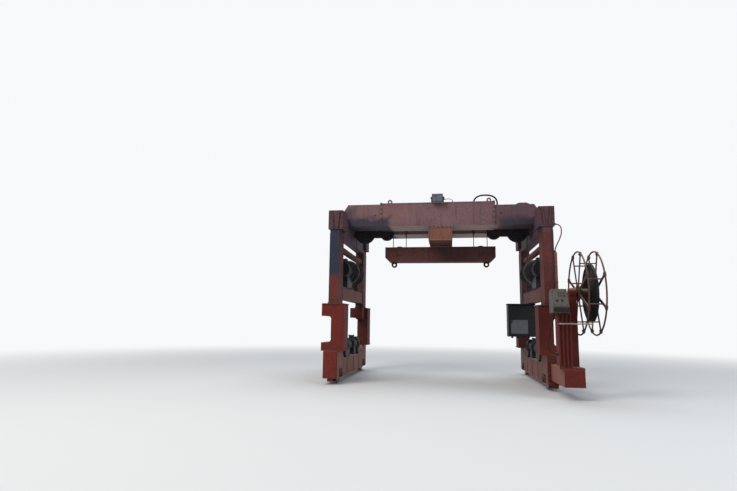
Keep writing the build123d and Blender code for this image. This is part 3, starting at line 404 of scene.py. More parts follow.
@dataclass(frozen=True)
class Paint:
    """Site paint on steel plate: faded, streaked, rusty at its edges and dusty on top, with painted light on faces
    that look down and painted shade in places.
    """

    name: str
    base: Rgb
    dark: Rgb
    light: Rgb
    streak: Rgb = (58, 44, 44)
    rust: Rgb = (92, 56, 40)
    dust: Rgb = (142, 128, 114)
    lit_underside: Rgb | None = None
    roughness: float = 0.62
    wear: float = 0.7
    dirt: float = 0.5
    settled: float = 0.6
    splash: float = 0.0
    stains_and_shade: tuple[StainAndShade, ...] = ()

    def build(self) -> bpy.types.Material:
        """Build the paint's node material from its coats, lowest first.

        Returns:
            The paint's material.
        """
        material, w, shader = new_material(self.name)
        broad, fine, height = w.use(GROUPS.mottle, Scale=2.6)
        wear = w.use(GROUPS.wear, Amount=self.wear)[0]
        dust = w.use(GROUPS.dust, Amount=self.settled)[0]
        chips = w.times(w.ramp(w.noise(w.coord(), 23.0, 8.0, 0.72), 0.625, 0.66), w.ramp(broad, 0.15, 0.8))
        coats = [(w.times(fine, 0.55), self.light)]
        # Painted light: faces that look down turn pale tan, as if lit from the ground below, with some dust in the
        # tan.
        if self.lit_underside:
            coats.append((w.times(w.ramp(w.times(w.up(), -1.0), 0.4, 0.9), 0.85), self.lit_underside))
        # Regions of stain and of painted shade, each laid in its own colour.
        coats += [(stain.mask(w), stain.colour) for stain in self.stains_and_shade]
        coats += [(w.use(GROUPS.streaks, Amount=self.dirt)[0], self.streak), (wear, self.rust),
                  (w.times(chips, self.wear, True), self.rust), (dust, self.dust)]
        if self.splash:
            coats.append((w.use(GROUPS.splash, Amount=self.splash)[0], self.dust))
        colour = w.blend(broad, tone(self.dark), tone(self.base))
        for mask, coat in coats:
            colour = w.blend(mask, colour, tone(coat))
        rough = w.calc("ADD", w.times(fine, 0.16), self.roughness - 0.08)
        rough = w.calc("MAXIMUM", w.calc("ADD", rough, w.times(wear, 0.2), True), w.times(dust, 0.9))
        w.feed(shader, {"Base Color": colour, "Roughness": rough, "Specular IOR Level": 0.2,
                        "Normal": w.bump(0.35, 0.0018, w.calc("SUBTRACT", height, w.times(wear, 0.6)))})
        return material


@dataclass(frozen=True)
class BareSteel:
    """Bare, greased or galvanised steel."""

    name: str
    base: Rgb
    stain: Rgb
    metallic: float = 0.75
    roughness: float = 0.42
    scale: float = 8.0
    settled: float = 0.35

    def build(self) -> bpy.types.Material:
        """Build the steel's node material.

        Returns:
            The steel's material.
        """
        material, w, shader = new_material(self.name)
        broad, fine, height = w.use(GROUPS.mottle, Scale=self.scale)
        dust = w.use(GROUPS.dust, Amount=self.settled)[0]
        colour = w.blend(w.times(broad, 0.7), tone(self.base), tone(self.stain))
        colour = w.blend(w.times(fine, 0.3), colour, tone(self.base))
        w.feed(shader, {"Base Color": w.blend(dust, colour, tone((120, 108, 96))),
                        "Metallic": w.times(w.calc("SUBTRACT", 1.0, dust), self.metallic),
                        "Roughness": w.calc("ADD", w.times(fine, 0.25), self.roughness - 0.08, True),
                        "Normal": w.bump(0.3, 0.001, height)})
        return material


@dataclass(frozen=True)
class Rubber:
    """Black cable sheath or hose cover, with a thin film of dust."""

    name: str
    base: Rgb
    film: Rgb
    roughness: float = 0.55

    def build(self) -> bpy.types.Material:
        """Build the rubber's node material.

        Returns:
            The rubber's material.
        """
        material, w, shader = new_material(self.name)
        broad, fine, height = w.use(GROUPS.mottle, Scale=18.0)
        colour = w.blend(w.times(fine, 0.45), tone(self.base), tone(self.film))
        colour = w.blend(w.use(GROUPS.dust, Amount=0.45, Scale=16.0)[0], colour, tone((120, 112, 102)))
        w.feed(shader, {"Base Color": colour, "Specular IOR Level": 0.25, "Normal": w.bump(0.25, 0.0006, height),
                        "Roughness": w.calc("ADD", w.times(broad, 0.2), self.roughness - 0.1, True)})
        return material


@dataclass(frozen=True)
class LampGlass:
    """Dusty glass over a floodlight's reflector."""

    name: str
    base: Rgb
    light: Rgb

    def build(self) -> bpy.types.Material:
        """Build the glass's node material.

        Returns:
            The glass's material.
        """
        material, w, shader = new_material(self.name)
        broad, fine, _ = w.use(GROUPS.mottle, Scale=14.0)
        w.feed(shader, {"Base Color": w.blend(broad, tone(self.base), tone(self.light)), "Coat Weight": 0.8,
                        "Coat Roughness": 0.04, "Roughness": w.calc("ADD", w.times(fine, 0.2), 0.08, True)})
        return material


class Finish(Enum):
    """Every finish on the machine."""

    GIRDER = Paint("girder_paint", (106, 78, 80), (92, 66, 70), (122, 94, 94), (64, 46, 50), (122, 72, 48),
                   # lit_underside is painted light: a pale tan on faces that look down.
                   lit_underside=(184, 166, 160), roughness=0.6, wear=0.75, dirt=0.7, stains_and_shade=(
                       # Painted shade: the next four regions darken both ends of the girder, most of all low down,
                       # where it lies in shadow.
                       StainAndShade((0.97, -1.0, 2.5), (1.9, 1.0, 3.2), (70, 50, 60), 0.65, 0.14),
                       StainAndShade((-1.9, -1.0, 2.4), (-0.86, 1.0, 2.79), (36, 40, 52), 0.88, 0.09, 0.3),
                       StainAndShade((-1.75, -1.0, 2.5), (-1.5, 1.0, 2.95), (40, 40, 52), 0.7, 0.12, 0.26),
                       StainAndShade((1.05, -1.0, 2.4), (1.9, 1.0, 2.76), (40, 40, 54), 0.8, 0.1, 0.26),
                       StainAndShade((-1.0, -1.0, 2.8), (-0.5, 1.0, 2.98), (128, 84, 74), 0.3, 0.2, 0.4)))
    FRAME = Paint("frame_paint", (88, 38, 31), (68, 31, 28), (102, 54, 46), (50, 36, 40), wear=0.6, dirt=0.7,
                  stains_and_shade=(StainAndShade((-1.9, -1.6, 2.38), (1.9, 1.6, 2.9), (76, 54, 60), 0.85, 0.05, 0.06),
                          StainAndShade((-1.66, -1.02, 2.36), (-1.4, 1.02, 2.72), (86, 72, 84), 0.7, 0.1),
                          StainAndShade((1.4, -1.02, 2.36), (1.66, 1.02, 2.72), (72, 58, 68), 0.7, 0.1),
                          # Painted shade with a bluish reflection on the upper front of the left front column.
                          StainAndShade((-1.9, -1.6, 1.72), (-1.57, -1.335, 2.46), (34, 41, 55), 1.0, 0.1, 0.16),
                          # Painted shade on the outer strip of the right front column's face.
                          StainAndShade((1.722, -1.6, 1.3), (1.9, -1.3, 2.42), (46, 36, 42), 0.85, 0.02, 0.05),
                          # Painted shade over the rear columns.
                          StainAndShade((-1.9, 0.9, 1.2), (1.9, 1.6, 2.36), (58, 40, 44), 0.5, 0.1)))
    LEG = Paint("leg_paint", (95, 27, 20), (78, 21, 16), (108, 42, 33), (58, 28, 24), dust=(142, 112, 98),
                wear=0.75, dirt=0.45, splash=0.2,
                # Painted shade over the rear lower legs.
                stains_and_shade=(StainAndShade((-1.9, 0.6, 0.4), (1.9, 1.6, 1.4), (64, 30, 27), 0.75, 0.1),
                        StainAndShade((1.4, -1.6, 0.6), (1.9, -1.3, 1.3), (66, 22, 18), 0.5, 0.14)))
    TRUCK = Paint("truck_paint", (108, 30, 23), (88, 24, 18), (118, 48, 38), (60, 32, 27), dust=(150, 122, 106),
                  wear=0.8, dirt=0.4, settled=0.9, splash=0.15,
                  stains_and_shade=(StainAndShade((-1.65, -1.42, 0.0), (-1.4, 1.5, 0.56), (122, 86, 74), 0.75, 0.04, 0.05),
                          StainAndShade((1.4, -1.42, 0.0), (1.65, 1.5, 0.56), (112, 76, 64), 0.75, 0.04, 0.05)))
    NOSE = Paint("nose_paint", (88, 24, 17), (70, 18, 13), (100, 38, 29), (50, 22, 18), dust=(150, 112, 98),
                 wear=0.8, settled=0.85, splash=0.05,
                 stains_and_shade=(StainAndShade((1.5, -2.38, 0.1), (1.645, -1.48, 0.42), (136, 90, 77), 0.8, 0.014, 0.01),))
    REEL = Paint("reel_paint", (78, 48, 38), (56, 36, 30), (96, 72, 60), rust=(84, 54, 38), wear=0.9, dirt=0.3)
    BEAM = Paint("lifting_beam_paint", (84, 48, 44), (64, 38, 37), (104, 66, 57), (46, 32, 32),
                 dust=(150, 128, 112), settled=0.7,
                 stains_and_shade=(StainAndShade((-0.1, -0.3, 2.0), (1.2, 0.3, 2.4), (58, 32, 34), 0.7, 0.3, 0.3),))
    MIDBEAM = Paint("mid_beam_paint", (100, 52, 44), (80, 41, 37), (120, 78, 67), (56, 35, 33), (126, 72, 42),
                    wear=0.85)
    BLOCK = Paint("centre_block_paint", (108, 66, 50), (86, 54, 44), (130, 92, 74), (66, 44, 38), (122, 74, 48),
                  wear=0.8)
    DARKGREY = Paint("control_plastic", (28, 22, 17), (22, 18, 14), (38, 31, 25), (26, 24, 22), wear=0.2,
                     dirt=0.2, settled=0.3, roughness=0.5)
    DARK = Paint("dark_paint", (46, 35, 38), (34, 28, 32), (62, 48, 50), (28, 24, 27), wear=0.5)
    BLACK = Paint("machine_paint", (23, 23, 25), (16, 16, 18), (32, 32, 34), (14, 14, 16), (48, 36, 30),
                  (96, 88, 80), wear=0.4, dirt=0.3, settled=0.4, roughness=0.48)
    CABINET = Paint("cabinet_paint", (22, 23, 26), (16, 17, 20), (30, 31, 34), (15, 16, 18), (56, 48, 42),
                    (110, 104, 96), wear=0.35, dirt=0.35, settled=0.5, roughness=0.45)
    CONSOLE = Paint("console_paint", (72, 70, 65), (59, 57, 52), (86, 84, 78), (54, 50, 44), (78, 60, 48),
                    (124, 116, 102), wear=0.5, dirt=0.45, settled=0.5, roughness=0.5)
    PLATE = Paint("blank_plate_paint", (80, 83, 88), (68, 71, 76), (94, 96, 101), (58, 58, 60), wear=0.2,
                  dirt=0.35, roughness=0.4)
    LAMP = Paint("lamp_paint", (74, 78, 89), (56, 60, 69), (92, 96, 106), (46, 48, 54), wear=0.3, dirt=0.3,
                 roughness=0.45)
    DUCT = Paint("duct_plastic", (116, 74, 61), (94, 62, 52), (132, 92, 79), (76, 54, 48), wear=0.2,
                 roughness=0.55)
    SHEAVE = BareSteel("sheave_steel", (44, 41, 45), (28, 26, 30), 0.5, 0.5)
    DRUM = BareSteel("drum_steel", (44, 43, 45), (28, 27, 29), 0.4, 0.5)
    # Pale rims: bare steel, made lighter to paint the highlight along each drum's edge.
    RIM = BareSteel("drum_rim_steel", (112, 106, 100), (66, 58, 54), 0.5, 0.45)
    WHEEL = BareSteel("wheel_steel", (104, 97, 92), (66, 51, 44), 0.8, 0.38)
    ROPE = BareSteel("wire_rope", (78, 72, 68), (44, 38, 36), 0.6, 0.5, 30.0, 0.15)
    BOLT = BareSteel("bolt_steel", (74, 60, 56), (52, 38, 34), 0.5, 0.55, 20.0)
    PALE = BareSteel("pale_steel", (146, 130, 120), (108, 94, 86), 0.35, 0.45)
    SHEATH = Rubber("cable_sheath", (17, 17, 17), (28, 28, 27))
    HOSE = Rubber("hose_cover", (26, 25, 28), (38, 37, 40), 0.5)
    CONDUIT = Rubber("conduit_cover", (92, 62, 53), (118, 84, 72))
    GLASS = LampGlass("lamp_glass", (70, 76, 88), (100, 106, 122))


NODE_FINISHES = {
    Finish.GIRDER: "girder_centre girder_end_left girder_end_right lifting_lugs",
    Finish.BLOCK: "centre_block",
    Finish.FRAME: "upper_columns top_beams head_brackets tie_bars",
    Finish.MIDBEAM: "mid_beams",
    Finish.LEG: "lower_legs_front lower_legs_rear",
    Finish.TRUCK: "truck_left truck_right",
    Finish.NOSE: "nose_beam console_post reel_stand",
    Finish.REEL: "cable_reel",
    Finish.DARK: "sheave_brackets rope_anchors winch_stands",
    Finish.BEAM: "spreader_beam",
    Finish.BLACK: "winch_motors drive_motors",
    Finish.CABINET: "cabinet",
    Finish.CONSOLE: "console_desk",
    Finish.LAMP: "floodlight",
    Finish.DUCT: "cable_duct",
    Finish.PALE: "guard_rail",
    Finish.SHEAVE: "big_sheave_left big_sheave_right small_sheave_left small_sheave_right spreader_pulley_left "
                   "spreader_pulley_right",
    Finish.DRUM: "winch_drum_left winch_drum_right",
    Finish.WHEEL: "wheel_front_left wheel_front_right wheel_rear_left wheel_rear_right",
    Finish.ROPE: "hoist_ropes rope_falls pulley_ropes",
    Finish.SHEATH: "wound_cable console_cable lamp_flex",
    Finish.HOSE: "hose_arch",
    Finish.CONDUIT: "duct_hose",
}


class Palette:
    """Makes each finish's material once and lays it on nodes and pieces."""

    def __init__(self) -> None:
        """Start with no material made."""
        self.made: dict[Finish, bpy.types.Material] = {}

    def material(self, finish: Finish) -> bpy.types.Material:
        """Material of a finish, built at its first use.

        Args:
            finish: the finish.

        Returns:
            Its material.
        """
        if finish not in self.made:
            self.made[finish] = finish.value.build()
        return self.made[finish]

    def dress_nodes(self) -> None:
        """Lay a finish on every CAD node through its material slots."""
        for finish, names in NODE_FINISHES.items():
            for name in names.split():
                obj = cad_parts[name]
                if not obj.material_slots:
                    obj.data.materials.append(None)
                for slot in obj.material_slots:
                    slot.material = self.material(finish)
                log.info("%s: %s", name, finish.value.name)


PALETTE = Palette()


class Former:
    """Gathers closed forms into one mesh and makes a piece of them."""

    def __init__(self) -> None:
        """Start with an empty mesh."""
        self.mesh = bmesh.new()

    def box(self, low: Point, high: Point, edge: float = 0.002, turn: Matrix | None = None) -> None:
        """Add a plate or block with broken edges.

        Args:
            low: one corner.
            high: the opposite corner.
            edge: width of the bevel.
            turn: matrix that moves it from its own place.
        """
        a, b = Vector(map(min, low, high)), Vector(map(max, low, high))
        middle, half = (a + b) / 2, (b - a) / 2
        cut = min(edge, 0.45 * min(half))
        points: dict[tuple[int, ...], bmesh.types.BMVert] = {}
        for *signs, k in product(SIDES, SIDES, SIDES, range(3)):
            place = middle + Vector([signs[i] * (half[i] - (0 if i == k else cut)) for i in range(3)])
            points[*signs, k] = self.mesh.verts.new(turn @ place if turn else place)
        for k in range(3):
            axes = (k, (k + 1) % 3, (k + 2) % 3)
            faces = [[((s, *pair), k) for pair in ((-1, -1), (1, -1), (1, 1), (-1, 1))] for s in SIDES]
            faces += [[((s, *pair), axes[side]) for s, side in ((-1, 1), (1, 1), (1, 2), (-1, 2))]
                      for pair in CORNERS]
            for face in faces:
                self.mesh.faces.new([points[*(signs[axes.index(i)] for i in range(3)), side] for signs, side in face])
        for signs in product(SIDES, repeat=3):
            self.mesh.faces.new([points[*signs, k] for k in range(3)])

    def lathe(self, profile: Profile, centre: Point, axis: Axis, sides: int, hand: int = 1) -> None:
        """Turn a closed half section about an axis.

        Args:
            profile: (distance along, radius) points; where both ends have radius 0 the form is solid.
            centre: point on the axis from which distances run.
            axis: the axis.
            sides: facets round the axis.
            hand: -1 where the distances run against the axis.
        """
        u, v = axis.across()
        rings = []
        for distance, radius in profile:
            base = Vector(centre) + Vector(axis.value) * (hand * distance)
            angles = [2 * math.pi * k / sides for k in range(sides if radius else 1)]
            rings.append([self.mesh.verts.new(base + u * (radius * math.cos(t)) + v * (radius * math.sin(t)))
                          for t in angles])
        pairs = list(zip(rings, rings[1:]))
        if profile[0][1] or profile[-1][1]:
            pairs.append((rings[-1], rings[0]))
        for (first, second), k in product(pairs, range(sides)):
            after = (k + 1) % sides
            corners = [first[k % len(first)], first[after % len(first)], second[after % len(second)],
                       second[k % len(second)]]
            self.mesh.faces.new(list(dict.fromkeys(corners)))

    def rod(self, centre: Point, axis: Axis, low: float, high: float, radius: float, sides: int) -> None:
        """Add a round bar with broken edges.

        Args:
            centre: point on the axis from which distances run.
            axis: the axis.
            low: distance of one end.
            high: distance of the other end.
            radius: the bar's radius.
            sides: facets round the axis.
        """
        low, high = sorted((low, high))
        cut = min(0.003, 0.4 * (high - low), 0.4 * radius)
        self.lathe([(low, 0), (low, radius - cut), (low + cut, radius), (high - cut, radius), (high, radius - cut),
                    (high, 0)], centre, axis, sides)

    def cap(self, centre: Point, axis: Axis, hand: int, wide: float, rise: float, top: float, narrow: float,
            sides: int = 28) -> None:
        """Add a round cover, chamfered from its wide radius at the rise to its narrow one at the top."""
        self.lathe([(0.0, 0.0), (0.0, wide), (rise, wide), (top, narrow), (top, 0.0)], centre, axis, sides, hand)

    def eye(self, centre: Point, radius: float, bar: float = 0.006) -> None:
        """Add a lifting eye of round bar that lies across X."""
        steps = [2 * math.pi * k / 8 for k in range(8)]
        self.lathe([(bar * math.cos(t), radius + bar * math.sin(t)) for t in steps], centre, Axis.X, 20)

    def piece(self, name: str, finish: Finish, body: str = "chassis") -> Thing:
        """Close the mesh and make a piece that rides on a body.

        Args:
            name: the piece's name.
            finish: its finish.
            body: the CAD body that it moves with.

        Returns:
            The piece's object.
        """
        bmesh.ops.recalc_face_normals(self.mesh, faces=self.mesh.faces[:])
        data = bpy.data.meshes.new(name)
        self.mesh.to_mesh(data)
        self.mesh.free()
        data.materials.append(PALETTE.material(finish))
        return settle(stand(name, data), body, PLATE_ANGLE)


class RuleTrees:
    """Geometry Nodes trees for what repeats or follows a line."""

    def __init__(self) -> None:
        """Build every tree once."""
        self.bolts = self._bolts()
        self.rope = self._rope()
        self.weld = self._weld()
        self.fins = self._fins()
        self.turns = self._turns()

    @staticmethod
    def _start(name: str, sizes: dict[str, float]) -> Wiring:
        """Begin a tree with a geometry input, named sizes and a finish."""
        return Wiring.group(name, "GeometryNodeTree", {"Geometry": "NodeSocketGeometry", **sizes,
                                                       "Finish": "NodeSocketMaterial"})

    @staticmethod
    def _end(w: Wiring, shape: Socket) -> Tree:
        """Realise the instances, set the finish and close the tree."""
        real = w.add("GeometryNodeRealizeInstances", {0: shape})
        return w.close("NodeSocketGeometry", Geometry=w.add(
            "GeometryNodeSetMaterial", {"Geometry": real, "Material": w.given["Finish"]}))

    @staticmethod
    def _aim(w: Wiring) -> Socket:
        """Rotation that turns Z to each point's facing."""
        facing = w.add("GeometryNodeInputNamedAttribute", {"Name": "facing"}, data_type="FLOAT_VECTOR")
        return w.add("FunctionNodeAlignRotationToVector", {"Vector": facing}, axis="Z")

    @staticmethod
    def _even(w: Wiring, step: str) -> Socket:
        """The lines as curves with points at even steps."""
        line = w.add("GeometryNodeMeshToCurve", {"Mesh": w.given["Geometry"]})
        return w.add("GeometryNodeResampleCurve", {"Curve": line, "Length": w.given[step]}, mode="LENGTH")

    @staticmethod
    def _circle(w: Wiring, count: object, radius: object = 1.0) -> Socket:
        """Circle of a number of points."""
        return w.add("GeometryNodeCurvePrimitiveCircle", {"Resolution": count, "Radius": radius})

    @staticmethod
    def _each(w: Wiring, points: Socket, shape: Socket, **more: Socket) -> Socket:
        """A shape on each point."""
        return w.add("GeometryNodeInstanceOnPoints", {"Points": points, "Instance": shape, **more})

    @staticmethod
    def _sweep(w: Wiring, curve: Socket, section: Socket, more: dict[str, object]) -> Socket:
        """A section drawn along curves."""
        return w.add("GeometryNodeCurveToMesh", {"Curve": curve, "Profile Curve": section, **more})

    def _bolts(self) -> Tree:
        """Hexagon heads with washers on points, turned to each point's facing.

        Returns:
            The finished tree.
        """
        w = self._start("Bolt heads", {"Head Radius": 0.018, "Head Height": 0.014, "Seed": 3})
        radius, height = w.given["Head Radius"], w.given["Head Height"]
        head = w.add("GeometryNodeMeshCylinder", {"Vertices": 6, "Radius": radius, "Depth": height})
        washer = w.add("GeometryNodeMeshCylinder", {"Vertices": 14, "Radius": w.times(radius, 1.45),
                                                    "Depth": w.times(height, 0.4)})
        rise = w.add("ShaderNodeCombineXYZ", {2: w.times(height, 0.62)})
        both = w.node("GeometryNodeJoinGeometry")
        for part in (w.add("GeometryNodeTransform", {"Geometry": head, "Translation": rise}), washer):
            w.tree.links.new(part, both.inputs[0])
        angle = w.add("FunctionNodeRandomValue", {"Max": 1.05, "Seed": w.given["Seed"]}, 1, data_type="FLOAT")
        turn = w.add("FunctionNodeAxisAngleToRotation", {"Angle": angle})
        spin = w.add("FunctionNodeRotateRotation", {"Rotation": self._aim(w), "Rotate By": turn},
                     rotation_space="LOCAL")
        return self._end(w, self._each(w, w.given["Geometry"], both.outputs[0], Rotation=spin))

    def _rope(self) -> Tree:
        """Stranded wire rope along lines: a lobed section that turns with the rope's lay.

        Returns:
            The finished tree.
        """
        w = self._start("Wire rope", {"Radius": 0.007, "Lay Length": 0.09, "Strands": 6, "Section": 24,
                                      "Step": 0.007})
        even = self._even(w, "Step")
        along = w.add("GeometryNodeSplineParameter", take="Length")
        tilt = w.calc("DIVIDE", w.times(along, 2 * math.pi), w.given["Lay Length"])
        laid = w.add("GeometryNodeSetCurveTilt", {"Curve": even, "Tilt": tilt})
        place = w.add("GeometryNodeInputPosition")
        flat = w.node("ShaderNodeSeparateXYZ", {0: place}).outputs
        angle = w.calc("ARCTAN2", flat[1], flat[0])
        wave = w.calc("ABSOLUTE", w.calc("COSINE", w.times(w.times(angle, 0.5), w.given["Strands"])))
        factor = w.times(w.calc("ADD", w.times(wave, 0.24), 0.76), w.given["Radius"])
        lobed = w.add("GeometryNodeSetPosition", {"Geometry": self._circle(w, w.given["Section"]),
                                                  "Position": w.scaled(place, factor)})
        return self._end(w, self._sweep(w, laid, lobed, {"Fill Caps": True}))

    def _weld(self) -> Tree:
        """Weld beads along lines, uneven as a hand-laid seam is.

        Returns:
            The finished tree.
        """
        w = self._start("Weld bead", {"Radius": 0.006, "Ripple": 0.012, "Unevenness": 0.5})
        even, share = self._even(w, "Ripple"), w.given["Unevenness"]
        uneven = w.times(w.noise(w.add("GeometryNodeInputPosition"), 70.0, 2.0), share)
        size = w.times(w.calc("ADD", uneven, w.calc("SUBTRACT", 1.0, share)), w.given["Radius"])
        return self._end(w, self._sweep(w, even, self._circle(w, 6), {"Scale": size, "Fill Caps": True}))

    def _fins(self) -> Tree:
        """Cooling fins round motors: a ring of thin plates at each point, along Y.

        Returns:
            The finished tree.
        """
        w = self._start("Cooling fins", {"Count": 36, "Radius": 0.1, "Height": 0.012, "Thickness": 0.004,
                                         "Length": 0.3})
        ring = w.add("GeometryNodeMeshLine", {"Count": w.given["Count"], "Offset": (0.0, 0.0, 0.0)})
        size = w.add("ShaderNodeCombineXYZ", {k: w.given[n] for k, n in enumerate(("Height", "Length", "Thickness"))})
        out = w.add("ShaderNodeCombineXYZ", {0: w.given["Radius"]})
        fin = w.add("GeometryNodeTransform", {"Geometry": w.add("GeometryNodeMeshCube", {"Size": size}),
                                              "Translation": out})
        index = w.add("GeometryNodeInputIndex")
        angle = w.calc("DIVIDE", w.times(index, 2 * math.pi), w.given["Count"])
        turn = w.add("FunctionNodeAxisAngleToRotation", {"Axis": Axis.Y.value, "Angle": angle})
        return self._end(w, self._each(w, w.given["Geometry"], self._each(w, ring, fin, Rotation=turn)))

    def _turns(self) -> Tree:
        """Concentric turns of cable or wire, one for each point; the point's radius is an attribute.

        Returns:
            The finished tree.
        """
        w = self._start("Cable turns", {"Wire Radius": 0.01, "Segments": 56})
        reach = w.add("GeometryNodeInputNamedAttribute", {"Name": "reach"}, data_type="FLOAT")
        size = w.add("ShaderNodeCombineXYZ", {k: reach for k in range(3)})
        placed = self._each(w, w.given["Geometry"], self._circle(w, w.given["Segments"]), Rotation=self._aim(w),
                            Scale=size)
        real = w.add("GeometryNodeRealizeInstances", {0: placed})
        return self._end(w, self._sweep(w, real, self._circle(w, 8, w.given["Wire Radius"]), {}))


TREES = RuleTrees()


@dataclass
class Lines:
    """Points and edges that a Geometry Nodes tree starts from."""

    points: list[Point] = field(default_factory=list)
    edges: list[tuple[int, int]] = field(default_factory=list)
    looks: list[Point] = field(default_factory=list)
    reach: list[float] = field(default_factory=list)

    def run(self, *points: Point, closed: bool = False) -> None:
        """Add a line.

        Args:
            points: the points that it runs through.
            closed: whether it ends where it starts.
        """
        start, count = len(self.points), len(points)
        self.points.extend(points)
        self.edges.extend((start + k, start + (k + 1) % count) for k in range(count if closed else count - 1))

    def spot(self, place: Point, facing: Point, reach: float = 0.0) -> None:
        """Add a single point.

        Args:
            place: the point.
            facing: the direction that it looks in.
            reach: radius of the turn on it.
        """
        self.points.append(tuple(place))
        self.looks.append(facing)
        self.reach.append(reach)

    def grid(self, start: Point, step: Point, counts: tuple[int, int, int],
             facing: Point = Axis.Z.value) -> None:
        """Add a regular field of points.

        Args:
            start: the first point.
            step: distance between points along each axis.
            counts: number of points along each axis.
            facing: the direction that each point looks in, which is up where nothing is said.
        """
        places = [Vector(start)]
        for axis, gap, count in zip(Axis, step, counts):
            places = [p + Vector(axis.value) * gap * k for p in places for k in range(count)]
        for place in places:
            self.spot(place, facing)

    def circle(self, centre: Point, axis: Axis, hand: int, radius: float, count: int, first: float = 0.0) -> None:
        """Add points evenly round a circle, which look along its axis.

        Args:
            centre: the circle's centre.
            axis: the axis that it lies round.
            hand: -1 where the points look against the axis.
            radius: its radius.
            count: how many points.
            first: angle of the first point in degrees.
        """
        u, v = axis.across()
        for k in range(count):
            angle = math.radians(first) + 2 * math.pi * k / count
            self.spot(Vector(centre) + (u * math.cos(angle) + v * math.sin(angle)) * radius, axis.facing(hand))

    def frame(self, low: Point, high: Point) -> None:
        """Add the closed outline of a flat rectangle.

        Args:
            low: one corner.
            high: the opposite corner, which shares one coordinate with the first.
        """
        flat = next(k for k in range(3) if abs(low[k] - high[k]) < 1e-9)
        first = next(k for k in range(3) if k != flat)
        turn, opposite = (tuple(b[k] if k == axis else a[k] for k in range(3))
                          for a, b, axis in ((low, high, first), (high, low, first)))
        self.run(low, turn, high, opposite, closed=True)

    def grow(self, name: str, tree: Tree, finish: Finish, body: str | None, sizes: dict[str, object]) -> Thing:
        """Run a tree on these points and make its result a plain piece on a body.

        Args:
            name: the piece's name.
            tree: the Geometry Nodes tree.
            finish: the piece's finish.
            body: the CAD body that it moves with, or None where it bends between two.
            sizes: values of the tree's named inputs.

        Returns:
            The piece's object.
        """
        data = bpy.data.meshes.new(name)
        data.from_pydata(self.points, self.edges, [])
        if self.looks:
            data.attributes.new("facing", "FLOAT_VECTOR", "POINT").data.foreach_set(
                "vector", [c for v in self.looks for c in v])
            data.attributes.new("reach", "FLOAT", "POINT").data.foreach_set("value", self.reach)
        obj = stand(name, data)
        modifier = obj.modifiers.new("rule", "NODES")
        modifier.node_group = tree
        values = dict(sizes, Finish=PALETTE.material(finish))
        for item in tree.interface.items_tree:
            if item.item_type == "SOCKET" and item.in_out == "INPUT" and item.name in values:
                modifier[item.identifier] = values[item.name]
        graph = bpy.context.evaluated_depsgraph_get()
        plain = bpy.data.meshes.new_from_object(obj.evaluated_get(graph), depsgraph=graph)
        plain.name = name
        obj.modifiers.remove(modifier)
        obj.data = plain
        return settle(obj, body, RULE_ANGLE)

    def heads(self, name: str, radius: float, height: float, body: str = "chassis") -> Thing:
        """Grow bolt heads on the points."""
        return self.grow(name, TREES.bolts, Finish.BOLT, body, {"Head Radius": radius, "Head Height": height})

    def seams(self, name: str, finish: Finish, radius: float, body: str = "chassis") -> Thing:
        """Grow weld beads on the lines."""
        return self.grow(name, TREES.weld, finish, body, {"Radius": radius})

    def fins(self, name: str, *sizes: float) -> Thing:
        """Grow motor fins on the points, by count, radius, height, thickness and length."""
        keys = ("Count", "Radius", "Height", "Thickness", "Length")
        return self.grow(name, TREES.fins, Finish.BLACK, "chassis", dict(zip(keys, sizes)))

    def turns(self, name: str, finish: Finish, body: str, radius: float, segments: int) -> Thing:
        """Grow turns of wire or cable on the points."""
        return self.grow(name, TREES.turns, finish, body, {"Wire Radius": radius, "Segments": segments})


